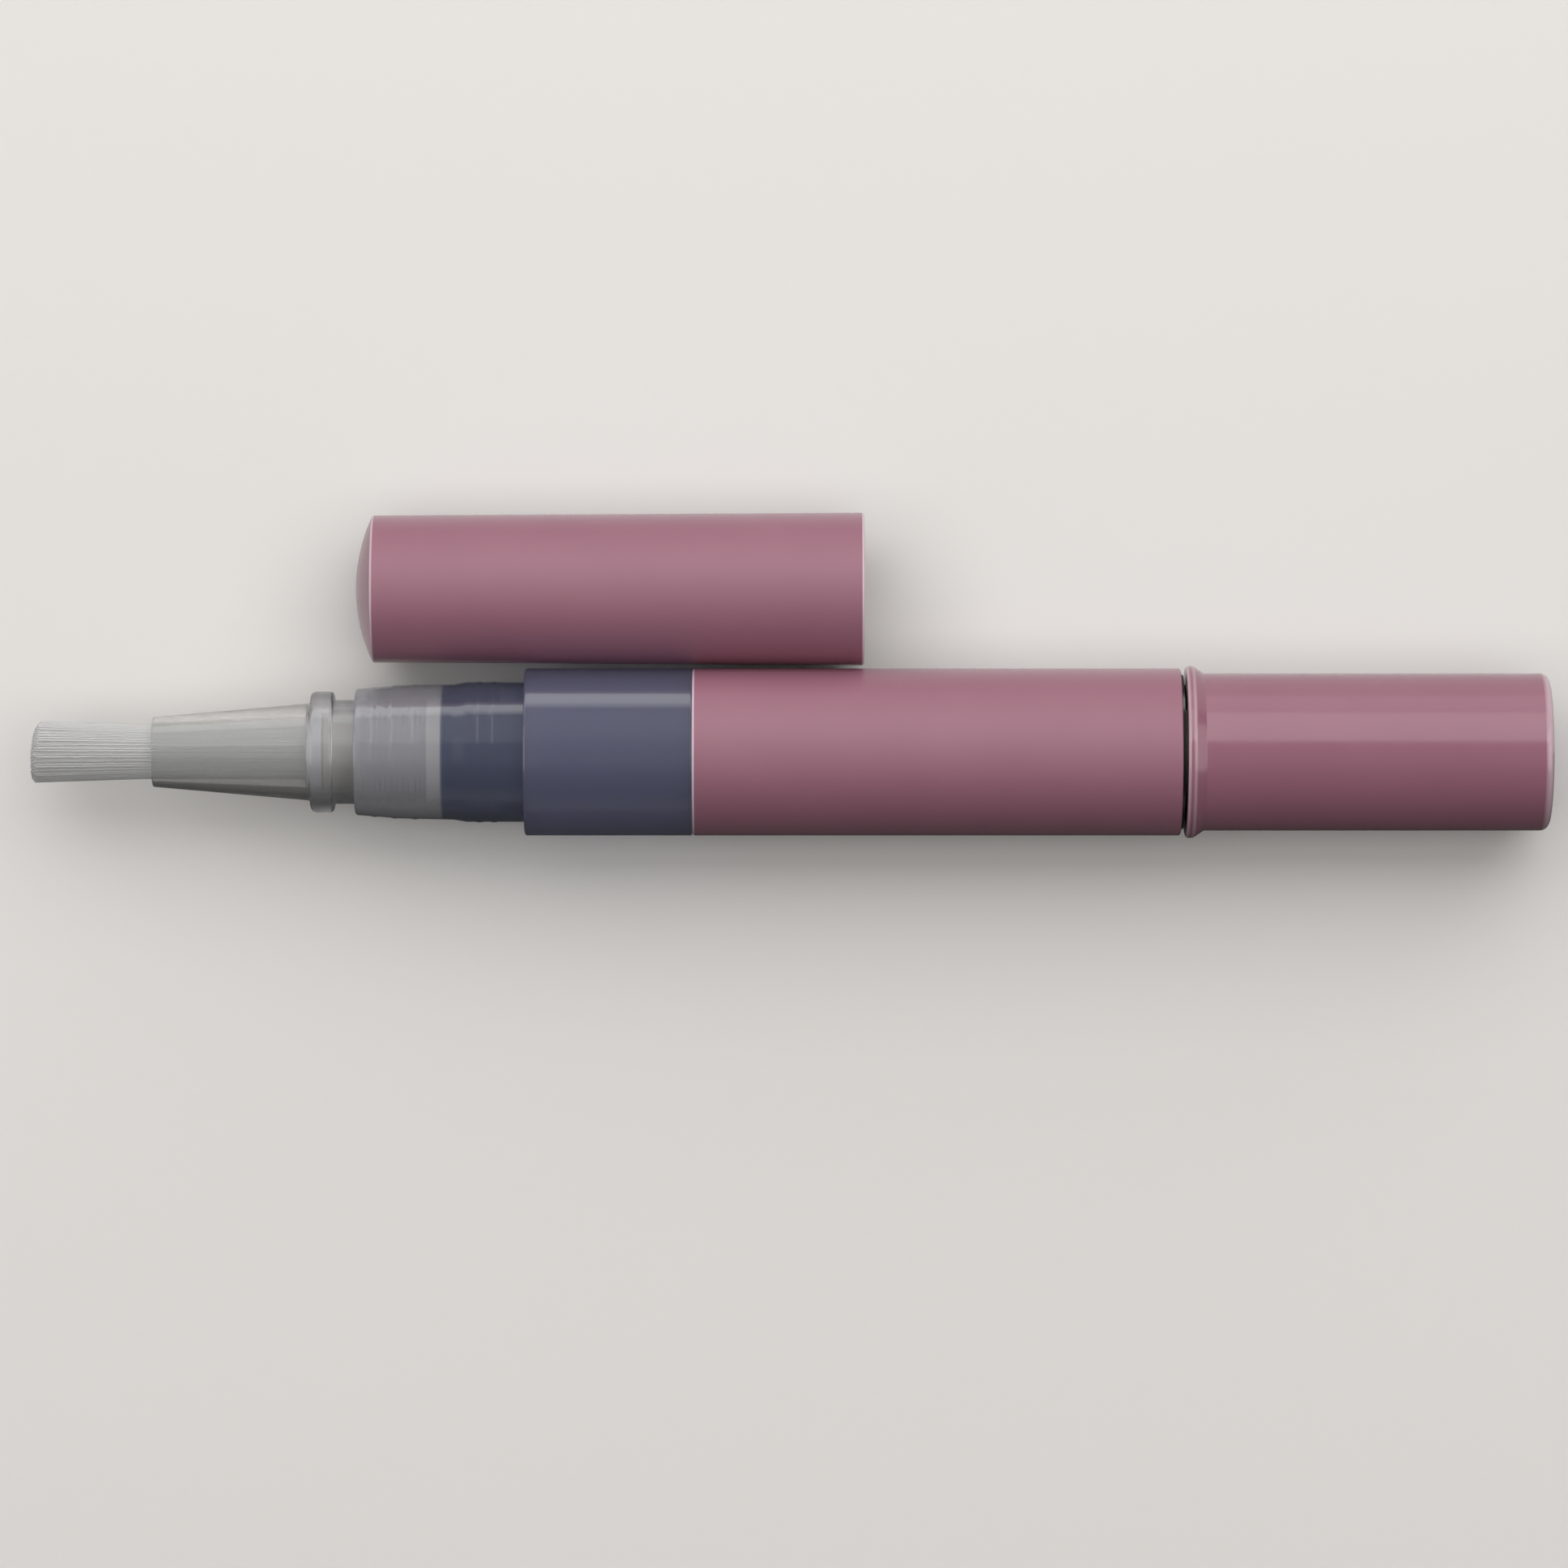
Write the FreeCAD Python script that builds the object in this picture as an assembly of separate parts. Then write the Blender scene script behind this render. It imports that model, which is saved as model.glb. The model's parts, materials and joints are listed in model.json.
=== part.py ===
import FreeCAD, Part
import math
import os

# A twist-feed nail oil pen, lying on its side with its cap taken off and laid alongside.
# Millimetres. The pen is built along X from the brush tip (x = 0) about the X axis. At the end every
# piece is set down so that the floor is z = 0 and the whole part is centred over the origin.

# Clearances shared by the fits
press_gap = 0.02       # radial, between mouldings that are pushed together
seat_gap = 0.02        # axial, between faces that butt together
seal_gap = 0.05        # radial, between a wiping seal and its bore
run_gap = 0.12         # between a turning piece and the fixed piece beside it
thread_gap = 0.10      # radial, between the lead screw and its nut
cut_overrun = 1.0      # how far a cutting tool runs past the material

# Barrel, whose radius leads every other radius of the pen
barrel_radius = 6.50
barrel_wall = 1.30
window_length = 13.00        # clear barrel that shows between the shoulder and the sleeve
shoulder_step = 1.06
shoulder_rounding = 0.20
neck_length = 13.19
neck_land_length = 4.53      # straight land that the cap grips
neck_land_step = 0.17
neck_ramp_length = 1.00
neck_waist_step = 0.09
neck_front_length = 3.53
neck_front_step = 0.28
neck_front_rounding = 0.25
neck_wall = 0.84
snap_ring_height = 0.05      # fine rings on the land
snap_ring_width = 0.35
snap_ring_count = 2
snap_ring_setback = 1.00     # from the land's front to the first ring
snap_ring_pitch = 1.14
neck_rib_height = 0.06       # fine ribs on the front of the neck
neck_rib_width = 0.30
neck_rib_count = 3
neck_rib_setback = 1.45      # from the neck's front to the first rib
neck_rib_pitch = 1.58
throat_length = 3.30
throat_overlap = 1.40        # how far the throat's cone reaches past the shoulder
snap_groove_depth = 0.14     # grooves that hold the nut and the collar
snap_groove_width = 0.70
barrel_lip_length = 0.20     # barrel that stands out past the sleeve, deep in the parting line

# Outer sleeve
sleeve_wall = 0.47
sleeve_length = 37.98
sleeve_front_rounding = 0.22
sleeve_back_rounding = 0.15

# Nozzle
shank_wall = 0.92
shank_reveal = 1.64          # shank that shows between the bead and the barrel's neck
shank_buried_length = 5.62
shank_groove_depth = 0.25
shank_groove_width = 0.42
shank_groove_count = 6
shank_groove_edge_share = 0.4
bead_height = 0.66
bead_length = 1.83
bead_rounding = 0.75
nozzle_root_step = 0.255
nozzle_root_rounding = 0.30
nozzle_cone_length = 12.30
nozzle_mouth_share = 0.7173  # of the root's radius: how far the cone narrows
nozzle_mouth_wall = 0.415
nozzle_lip_rounding = 0.15
butt_ledge = 0.335           # step in the bore that the brush's butt rests on
holder_flange_length = 1.14

# Brush
brush_reach = 9.45           # bristles that show in front of the nozzle
brush_mouth_gap = 0.10
brush_flare = 0.20
brush_tip_rounding = 0.60
brush_butt_length = 1.00     # the melted root that holds the bristles together
feed_tube_share = 0.2727     # of the brush's radius at the nozzle's mouth
feed_tube_wall = 0.25
feed_tube_setback = 4.00     # from the brush tip to the tube's open end

# Piston and its seal
piston_length = 6.00
piston_lip_length = 0.90
piston_waist_depth = 0.45
piston_edge_rounding = 0.25
seal_section_radius = 0.60
seal_groove_side_gap = 0.05
socket_lip_length = 1.60
piston_rest_gap = 0.60       # between the piston's back and the nut at rest

# Lead screw and nut
thread_lead = 2.00           # advance for one turn
thread_throw_share = 0.174   # of the screw's radius: how far its round section stands off the axis
screw_flat_share = 0.674
screw_head_share = 0.78
screw_neck_share = 0.52
screw_head_length = 1.30
screw_head_gap = 0.08
screw_tail_gap = 0.50
nut_length = 5.00
nut_flange_length = 1.20
nut_wall = 1.50

# Click drive in the back of the barrel
collar_length = 1.05
ratchet_length = 4.82
ratchet_wall = 0.43
ratchet_tooth_height = 0.40
ratchet_tooth_count = 12
ratchet_tooth_face_share = 0.85
ratchet_tooth_root_share = 0.97
pawl_length = 2.40
pawl_tip_gap = 0.05
pawl_tip_height = 0.17
pawl_arm_wall = 0.40
pawl_arm_gap = 0.28
pawl_hub_wall = 0.50
pawl_count = 2
pawl_arm_angle = 120.0
pawl_root_angle = 22.0
pawl_tip_angle = 9.0
rotor_key_wall = 0.55
rotor_key_flat_depth = 0.33
rotor_flange_length = 1.00
rotor_flange_gap = 0.50      # from the flange's rim to the barrel's bore
rotor_bore_gap = 0.45        # around the screw behind the keyed stretch
rotor_tube_wall = 0.55
rotor_front_gap = 0.40       # between the nut and the keyed stretch
rotor_tail_length = 8.60     # splined tail inside the knob
spline_count = 6
spline_height = 0.35
spline_width = 0.80

# Twist knob
parting_gap = 0.38           # dark line between the sleeve and the knob's ring
ring_proud = 0.20            # how far the ring stands out past the barrel
ring_length = 1.45
ring_crest_length = 0.60     # from the ring's front edge to where it slopes down to the grip
ring_front_rounding = 0.32
ring_back_rounding = 0.60
grip_step = 0.38             # how far the grip is set in from the barrel
grip_length = 26.86
grip_wall = 0.90
grip_end_wall = 1.10
grip_end_rounding = 0.70
core_setback = 0.25
core_disc_length = 1.50
core_boss_wall = 0.90
core_rib_count = 4
core_rib_width = 0.80
core_rib_length = 6.00

# Cap, sized from the neck and the bead that it closes over
cap_fit_gap = 0.01           # over the snap rings
cap_mouth_wall = 0.45
cap_land_length = 4.00       # straight bore that grips the neck's land
cap_lip_rounding = 0.20
cap_crown_wall = 0.60
cap_dome_height = 1.30
cap_tip_gap = 0.59           # between the brush tip and the crown when the cap is on
liner_length = 24.00
liner_wall = 0.35
liner_bead_height = 0.06
liner_bead_length = 0.80
liner_bead_setback = 1.65
cap_park_gap = 0.25          # between the cap's side and the barrel's side, as they lie

V = FreeCAD.Vector
ORIGIN = V(0, 0, 0)
ALONG = V(1, 0, 0)
FULL_TURN = 360.0
QUARTER_TURN = 90.0
FILLET_LIMIT_SHARE = 0.48

# Stations along the pen, from the brush tip
mouth_x = brush_reach
bead_x = mouth_x + nozzle_cone_length
shank_x = bead_x + bead_length
neck_x = shank_x + shank_reveal
shank_end_x = neck_x + shank_buried_length
holder_end_x = shank_end_x + seat_gap + holder_flange_length
shoulder_x = neck_x + neck_length
sleeve_x = shoulder_x + window_length
sleeve_end_x = sleeve_x + seat_gap + sleeve_length
barrel_end_x = sleeve_end_x + barrel_lip_length
collar_x = barrel_end_x - collar_length
rotor_flange_x = collar_x - run_gap - rotor_flange_length
ratchet_end_x = rotor_flange_x - run_gap
ratchet_x = ratchet_end_x - ratchet_length
nut_end_x = ratchet_x - seat_gap
nut_x = nut_end_x - nut_length
piston_end_x = nut_x - piston_rest_gap
piston_x = piston_end_x - piston_length
rotor_x = nut_end_x + rotor_front_gap
ring_x = sleeve_end_x + parting_gap
grip_x = ring_x + ring_length
knob_end_x = grip_x + grip_length
core_x = ring_x + core_setback
core_boss_x = core_x + core_disc_length
rotor_end_x = core_boss_x + rotor_tail_length

# Radii at the front, from the barrel inwards to the brush
neck_land_radius = barrel_radius - shoulder_step
neck_ramp_radius = neck_land_radius - neck_land_step
neck_waist_radius = neck_ramp_radius - neck_waist_step
neck_front_radius = neck_waist_radius - neck_front_step
neck_bore = neck_front_radius - neck_wall
shank_radius = neck_bore - press_gap
shank_bore = shank_radius - shank_wall
bead_radius = shank_radius + bead_height
nozzle_root_radius = shank_radius - nozzle_root_step
nozzle_root_bore = shank_bore - butt_ledge
nozzle_mouth_radius = nozzle_root_radius * nozzle_mouth_share
nozzle_mouth_bore = nozzle_mouth_radius - nozzle_mouth_wall
brush_mouth_radius = nozzle_mouth_bore - brush_mouth_gap
brush_tip_radius = brush_mouth_radius + brush_flare
feed_tube_radius = brush_mouth_radius * feed_tube_share

# Radii at the back, from the barrel inwards to the screw
barrel_rear_radius = barrel_radius - sleeve_wall - press_gap
chamber_radius = barrel_radius - barrel_wall
fixed_radius = chamber_radius - press_gap
ratchet_root_radius = fixed_radius - ratchet_wall
ratchet_tip_radius = ratchet_root_radius - ratchet_tooth_height
pawl_tip_radius = ratchet_tip_radius - pawl_tip_gap
pawl_arm_outer = pawl_tip_radius - pawl_tip_height
pawl_arm_inner = pawl_arm_outer - pawl_arm_wall
pawl_hub_radius = pawl_arm_inner - pawl_arm_gap
rotor_key_radius = pawl_hub_radius - pawl_hub_wall
rotor_key_flat_half = rotor_key_radius - rotor_key_flat_depth
screw_radius = rotor_key_radius - rotor_key_wall - thread_gap
screw_flat_half = screw_radius * screw_flat_share
screw_head_radius = screw_radius * screw_head_share
screw_neck_radius = screw_radius * screw_neck_share
thread_throw = screw_radius * thread_throw_share
thread_round_radius = screw_radius - thread_throw
nut_waist_radius = screw_radius + thread_gap + nut_wall
rotor_bore_radius = screw_radius + rotor_bore_gap
rotor_tube_radius = rotor_bore_radius + rotor_tube_wall
rotor_flange_radius = chamber_radius - rotor_flange_gap
ring_radius = barrel_radius + ring_proud
grip_radius = barrel_radius - grip_step
knob_bore = grip_radius - grip_wall
core_radius = knob_bore - press_gap

# The cap, from what it closes over outwards; it lies with its crown level with the front of the neck
cap_mouth_bore = neck_land_radius + snap_ring_height + cap_fit_gap
cap_mouth_radius = cap_mouth_bore + cap_mouth_wall
liner_bore = bead_radius + liner_bead_height
liner_radius = liner_bore + liner_wall
cap_crown_bore = liner_radius + press_gap
cap_crown_radius = cap_crown_bore + cap_crown_wall
cap_length = shoulder_x + cap_tip_gap + cap_crown_wall
cap_x = neck_x


def outline_edges(points, closed=True):
    """Edges through (x, radius) points. A third number rounds that corner, as far as its runs allow."""
    flat = [V(point[0], point[1], 0) for point in points]
    rounding = [point[2] if len(point) > 2 else 0 for point in points]
    arrivals, departures, arcs = [], [], []
    for i, corner in enumerate(flat):
        if not rounding[i]:
            arrivals.append(corner)
            departures.append(corner)
            arcs.append(None)
            continue
        back = flat[i - 1] - corner
        ahead = flat[(i + 1) % len(flat)] - corner
        half = back.getAngle(ahead) / 2
        reach = rounding[i] / math.tan(half)
        reach = min(reach, FILLET_LIMIT_SHARE * min(back.Length, ahead.Length))
        back.normalize()
        ahead.normalize()
        radius = reach * math.tan(half)
        inward = (back + ahead).normalize()
        start = corner + back * reach
        nearest = corner + inward * (radius / math.sin(half) - radius)
        end = corner + ahead * reach
        arrivals.append(start)
        departures.append(end)
        arcs.append(Part.Arc(start, nearest, end).toShape())
    edges = []
    for i, arc in enumerate(arcs):
        if arc:
            edges.append(arc)
        following = (i + 1) % len(flat)
        if following or closed:
            edges.append(Part.makeLine(departures[i], arrivals[following]))
    return edges


def spun(edges):
    """The solid that closed outline edges sweep in a full turn about the X axis."""
    return Part.Face(Part.Wire(edges)).revolve(ORIGIN, ALONG, FULL_TURN)


def turned(points):
    return spun(outline_edges(points))


def rod(radius, start_x, end_x):
    return Part.makeCylinder(radius, end_x - start_x, V(start_x, 0, 0), ALONG)


def tube(outer, inner, start_x, end_x):
    bore = rod(inner, start_x - cut_overrun, end_x + cut_overrun)
    return rod(outer, start_x, end_x).cut(bore)


def wedge(outer, inner, start_x, end_x, start_angle, end_angle):
    """Part of a tube, between two angles about the axis in degrees."""
    sweep = end_angle - start_angle
    block = Part.makeCylinder(outer, end_x - start_x, V(start_x, 0, 0), ALONG, sweep)
    core = Part.makeCylinder(inner, end_x - start_x, V(start_x, 0, 0), ALONG, FULL_TURN)
    piece = block.cut(core)
    piece.rotate(ORIGIN, ALONG, start_angle)
    return piece


def slab(half_thickness, half_width, start_x, end_x):
    """A box about the axis, thin in z."""
    corner = V(start_x, -half_width, -half_thickness)
    return Part.makeBox(end_x - start_x, 2 * half_width, 2 * half_thickness, corner)


def double_d(radius, flat_half, start_x, end_x):
    """A round bar with two flats."""
    return rod(radius, start_x, end_x).common(slab(flat_half, radius, start_x, end_x))


def spokes(count, width, inner, outer, start_x, end_x):
    """Radial ribs, evenly spaced about the axis."""
    ribs = []
    for i in range(count):
        rib = Part.makeBox(end_x - start_x, outer - inner, width, V(start_x, inner, -width / 2))
        rib.rotate(ORIGIN, ALONG, FULL_TURN * i / count)
        ribs.append(rib)
    return ribs


def winding_bar(radius, start_x, end_x):
    """A round bar whose centre winds about the axis: the rounded thread, in whole turns that reach end_x."""
    turns = math.ceil((end_x - start_x) / thread_lead)
    phase = FULL_TURN * (start_x - nut_x) / thread_lead
    spine = Part.makeHelix(thread_lead, turns * thread_lead, thread_throw)
    section = Part.Wire(Part.makeCircle(radius, V(thread_throw, 0, 0), V(0, 0, 1)))
    sweep = Part.BRepOffsetAPI.MakePipeShell(Part.Wire(spine.Edges))
    sweep.setTrihedronMode(ORIGIN, V(0, 0, 1))
    sweep.add(section)
    sweep.build()
    sweep.makeSolid()
    bar = sweep.shape()
    bar.rotate(ORIGIN, V(0, 0, 1), phase)
    bar.rotate(ORIGIN, V(0, 1, 0), QUARTER_TURN)
    bar.translate(V(start_x, 0, 0))
    return bar


def make_brush_bristles():
    butt_x = bead_x + seat_gap
    butt_radius = shank_bore - press_gap
    bundle = turned([
        (0, 0),
        (0, brush_tip_radius, brush_tip_rounding),
        (mouth_x, brush_mouth_radius),
        (butt_x, brush_mouth_radius),
        (butt_x, butt_radius),
        (butt_x + brush_butt_length, butt_radius),
        (butt_x + brush_butt_length, 0),
    ])
    return bundle.cut(rod(feed_tube_radius + press_gap, feed_tube_setback, shank_end_x))


def make_feed_tube():
    bore = feed_tube_radius - feed_tube_wall
    return tube(feed_tube_radius, bore, feed_tube_setback + seat_gap, holder_end_x)


def make_brush_holder():
    """White plug that traps the brush's butt in the nozzle and carries the feed tube."""
    plug_x = bead_x + 2 * seat_gap + brush_butt_length
    plug_radius = shank_bore - press_gap
    tube_hole = feed_tube_radius + press_gap
    return turned([
        (plug_x, tube_hole),
        (plug_x, plug_radius),
        (shank_end_x + seat_gap, plug_radius),
        (shank_end_x + seat_gap, shank_radius),
        (holder_end_x, shank_radius),
        (holder_end_x, tube_hole),
    ])


def make_nozzle():
    """Clear cone with its sealing bead and a grooved shank that plugs into the barrel."""
    groove_pitch = shank_buried_length / (shank_groove_count + shank_groove_edge_share)
    outline = [
        (mouth_x, nozzle_mouth_bore),
        (mouth_x, nozzle_mouth_radius, nozzle_lip_rounding),
        (bead_x, nozzle_root_radius, nozzle_root_rounding),
        (bead_x, bead_radius, bead_rounding),
        (shank_x, bead_radius, bead_rounding),
        (shank_x, shank_radius),
    ]
    floor_radius = shank_radius - shank_groove_depth
    for i in range(shank_groove_count):
        groove_x = neck_x + groove_pitch * (i + shank_groove_edge_share)
        outline += [
            (groove_x, shank_radius),
            (groove_x, floor_radius),
            (groove_x + shank_groove_width, floor_radius),
            (groove_x + shank_groove_width, shank_radius),
        ]
    outline += [
        (shank_end_x, shank_radius),
        (shank_end_x, shank_bore),
        (bead_x, shank_bore),
        (bead_x, nozzle_root_bore),
    ]
    return turned(outline)


def radius_at(line, x):
    """Radius at x of an outline that runs straight from point to point."""
    for (x0, radius0), (x1, radius1) in zip(line, line[1:]):
        if x0 <= x <= x1:
            return radius0 + (radius1 - radius0) * (x - x0) / (x1 - x0)


def make_barrel():
    """Clear oil barrel: neck, window, and a thinner back half that the outer sleeve covers."""
    land_x = shoulder_x - neck_land_length
    throat_x = shoulder_x + throat_overlap - throat_length
    neck_line = [
        (neck_x, neck_front_radius),
        (neck_x + neck_front_length, neck_waist_radius),
        (land_x - neck_ramp_length, neck_ramp_radius),
    ]
    ribs = []
    for i in range(neck_rib_count):
        rib_x = neck_x + neck_rib_setback + neck_rib_pitch * i
        ribs += [
            (rib_x - neck_rib_width, radius_at(neck_line, rib_x - neck_rib_width)),
            (rib_x, radius_at(neck_line, rib_x) + neck_rib_height),
            (rib_x + neck_rib_width, radius_at(neck_line, rib_x + neck_rib_width)),
        ]
    outline = [
        (neck_x, neck_bore),
        (neck_x, neck_front_radius, neck_front_rounding),
        *sorted(neck_line[1:] + ribs),
        (land_x, neck_land_radius),
    ]
    for i in range(snap_ring_count):
        snap_x = land_x + snap_ring_setback + snap_ring_pitch * i
        outline += [
            (snap_x - snap_ring_width, neck_land_radius),
            (snap_x, neck_land_radius + snap_ring_height),
            (snap_x + snap_ring_width, neck_land_radius),
        ]
    outline += [
        (shoulder_x, neck_land_radius),
        (shoulder_x, barrel_radius, shoulder_rounding),
        (sleeve_x, barrel_radius),
        (sleeve_x, barrel_rear_radius),
        (barrel_end_x, barrel_rear_radius),
        (barrel_end_x, chamber_radius),
        (throat_x + throat_length, chamber_radius),
        (throat_x, neck_bore),
    ]
    barrel = turned(outline)
    for centre_x in snap_stations():
        barrel = barrel.cut(snap_ring(centre_x, chamber_radius, snap_groove_depth, snap_groove_width))
    return barrel


def snap_stations():
    """Where the nut and the collar snap into the barrel's bore."""
    return nut_x + nut_flange_length / 2, collar_x + collar_length / 2


def snap_ring(centre_x, radius, height, width):
    """A ridge of triangular section about the axis, seated a little below the surface it stands on."""
    return turned([
        (centre_x - width / 2, radius - height),
        (centre_x - width / 2, radius),
        (centre_x, radius + height),
        (centre_x + width / 2, radius),
        (centre_x + width / 2, radius - height),
    ])


def snapped_in(piece, centre_x):
    """Add the ridge that holds a fixed piece in its groove in the barrel."""
    ridge = snap_ring(centre_x, fixed_radius, snap_groove_depth, snap_groove_width)
    return piece.fuse(ridge).removeSplitter()


def make_outer_sleeve():
    start_x = sleeve_x + seat_gap
    inner = barrel_rear_radius + press_gap
    return turned([
        (start_x, inner),
        (start_x, barrel_radius, sleeve_front_rounding),
        (sleeve_end_x, barrel_radius, sleeve_back_rounding),
        (sleeve_end_x, inner),
    ])


def seal_centre_radius():
    return chamber_radius - seal_gap - seal_section_radius


def make_piston():
    """Follower with two wiping lips, a groove for its seal and a socket for the screw's head."""
    lip_radius = chamber_radius - seal_gap
    waist_radius = lip_radius - piston_waist_depth
    groove_floor = seal_centre_radius() - seal_section_radius - press_gap
    groove_half = seal_section_radius + seal_groove_side_gap
    middle_x = piston_x + piston_length / 2
    lip_end_x = piston_x + piston_lip_length
    back_lip_x = piston_end_x - piston_lip_length
    body = turned([
        (piston_x, 0),
        (piston_x, lip_radius, piston_edge_rounding),
        (lip_end_x, lip_radius),
        (lip_end_x, waist_radius),
        (middle_x - groove_half, waist_radius),
        (middle_x - groove_half, groove_floor),
        (middle_x + groove_half, groove_floor),
        (middle_x + groove_half, waist_radius),
        (back_lip_x, waist_radius),
        (back_lip_x, lip_radius),
        (piston_end_x, lip_radius, piston_edge_rounding),
        (piston_end_x, 0),
    ])
    socket_end_x = piston_end_x - socket_lip_length
    socket_x = socket_end_x - screw_head_length - 2 * screw_head_gap
    entry = rod(screw_neck_radius + screw_head_gap, socket_x, piston_end_x + cut_overrun)
    pocket = rod(screw_head_radius + screw_head_gap, socket_x, socket_end_x)
    return body.cut(entry).cut(pocket)


def make_piston_seal():
    middle_x = piston_x + piston_length / 2
    return Part.makeTorus(seal_centre_radius(), seal_section_radius, V(middle_x, 0, 0), ALONG)


def make_lead_screw():
    """Round-threaded screw with two flats, its head snapped into the piston."""
    head_end_x = piston_end_x - socket_lip_length - screw_head_gap
    thread_x = piston_end_x + run_gap
    tail_x = knob_end_x - grip_end_wall - screw_tail_gap
    thread = winding_bar(thread_round_radius, thread_x, tail_x)
    thread = thread.common(slab(screw_flat_half, 2 * screw_radius, thread_x, tail_x))
    head = rod(screw_head_radius, head_end_x - screw_head_length, head_end_x)
    neck = rod(screw_neck_radius, head_end_x - screw_head_length, thread_x + thread_lead)
    return thread.fuse(neck).fuse(head)


def make_feed_nut():
    """Fixed nut that the screw winds through, held by a ridge on its flange."""
    body = turned([
        (nut_x, 0),
        (nut_x, fixed_radius),
        (nut_x + nut_flange_length, fixed_radius),
        (nut_x + nut_flange_length, nut_waist_radius),
        (nut_end_x - nut_flange_length, nut_waist_radius),
        (nut_end_x - nut_flange_length, fixed_radius),
        (nut_end_x, fixed_radius),
        (nut_end_x, 0),
    ])
    body = snapped_in(body, snap_stations()[0])
    thread = winding_bar(thread_round_radius + thread_gap, nut_x - cut_overrun, nut_end_x + cut_overrun)
    return body.cut(thread)


def make_ratchet_ring():
    """Ring of saw teeth that the pawls click over."""
    ring = tube(fixed_radius, ratchet_root_radius, ratchet_x, ratchet_end_x)
    pitch = 2 * math.pi / ratchet_tooth_count
    buried_radius = ratchet_root_radius + press_gap
    for i in range(ratchet_tooth_count):
        corners = []
        for radius, share in (
            (buried_radius, 0),
            (ratchet_tip_radius, ratchet_tooth_face_share),
            (buried_radius, ratchet_tooth_root_share),
        ):
            angle = pitch * (i + share)
            corners.append(V(ratchet_x, radius * math.cos(angle), radius * math.sin(angle)))
        tooth = Part.Face(Part.makePolygon(corners + corners[:1]))
        ring = ring.fuse(tooth.extrude(ALONG * ratchet_length))
    return ring.removeSplitter()


def make_pawl_ring():
    """Springy click ring keyed on the drive sleeve. Its arms are drawn sprung in, just clear of the teeth."""
    start_x = ratchet_x + (ratchet_length - pawl_length) / 2
    end_x = start_x + pawl_length
    ring = rod(pawl_hub_radius, start_x, end_x)
    for i in range(pawl_count):
        root = FULL_TURN * i / pawl_count
        tip = root + pawl_arm_angle
        root_end = root + pawl_root_angle
        ring = ring.fuse(wedge(pawl_arm_outer, rotor_key_radius, start_x, end_x, root, root_end))
        ring = ring.fuse(wedge(pawl_arm_outer, pawl_arm_inner, start_x, end_x, root, tip))
        ring = ring.fuse(wedge(pawl_tip_radius, pawl_arm_inner, start_x, end_x, tip - pawl_tip_angle, tip))
    key_radius = rotor_key_radius + press_gap
    key_flat_half = rotor_key_flat_half + press_gap
    key = double_d(key_radius, key_flat_half, start_x - cut_overrun, end_x + cut_overrun)
    return ring.cut(key).removeSplitter()


def make_drive_sleeve():
    """Turns the screw through its keyed front wall, and is turned by the knob through its splined tail."""
    body = double_d(rotor_key_radius, rotor_key_flat_half, rotor_x, rotor_flange_x)
    body = body.fuse(rod(rotor_flange_radius, rotor_flange_x, rotor_flange_x + rotor_flange_length))
    body = body.fuse(rod(rotor_tube_radius, rotor_flange_x, rotor_end_x))
    spline_inner = rotor_bore_radius + press_gap
    spline_outer = rotor_tube_radius + spline_height
    for rib in spokes(spline_count, spline_width, spline_inner, spline_outer, core_boss_x, rotor_end_x):
        body = body.fuse(rib)
    key_radius = screw_radius + thread_gap
    key_flat_half = screw_flat_half + thread_gap
    key = double_d(key_radius, key_flat_half, rotor_x - cut_overrun, rotor_end_x)
    bore = rod(rotor_bore_radius, rotor_flange_x, rotor_end_x + cut_overrun)
    return body.cut(key).cut(bore).removeSplitter()


def make_retaining_collar():
    ring = tube(fixed_radius, rotor_tube_radius + run_gap, collar_x, barrel_end_x)
    return snapped_in(ring, snap_stations()[1])


def make_knob_core():
    """Plug pressed into the knob, with a splined socket for the drive sleeve."""
    boss_radius = rotor_tube_radius + spline_height + core_boss_wall
    body = rod(core_radius, core_x, core_boss_x).fuse(rod(boss_radius, core_boss_x, rotor_end_x))
    rib_end_x = core_boss_x + core_rib_length
    for rib in spokes(core_rib_count, core_rib_width, rotor_tube_radius, core_radius, core_x, rib_end_x):
        body = body.fuse(rib)
    past_end_x = rotor_end_x + cut_overrun
    body = body.cut(rod(rotor_tube_radius + press_gap, core_x - cut_overrun, past_end_x))
    slot_outer = rotor_tube_radius + spline_height + press_gap
    slot_width = spline_width + 2 * press_gap
    slot_x = core_boss_x - seat_gap
    for slot in spokes(spline_count, slot_width, rotor_bore_radius, slot_outer, slot_x, past_end_x):
        body = body.cut(slot)
    return body.removeSplitter()


def make_twist_knob():
    inner_end_x = knob_end_x - grip_end_wall
    return turned([
        (ring_x, knob_bore),
        (ring_x, ring_radius, ring_front_rounding),
        (ring_x + ring_crest_length, ring_radius, ring_back_rounding),
        (grip_x, grip_radius),
        (knob_end_x, grip_radius, grip_end_rounding),
        (knob_end_x, 0),
        (inner_end_x, 0),
        (inner_end_x, knob_bore, grip_end_rounding),
    ])


def dome_edge(apex_x, rim_radius, height):
    """Arc of the shallow dome, from its apex on the axis to its rim."""
    sphere = (rim_radius ** 2 + height ** 2) / (2 * height)
    halfway = rim_radius / 2
    halfway_x = apex_x + sphere - math.sqrt(sphere ** 2 - halfway ** 2)
    rim = V(apex_x + height, rim_radius, 0)
    return Part.Arc(V(apex_x, 0, 0), V(halfway_x, halfway, 0), rim).toShape()


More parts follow.
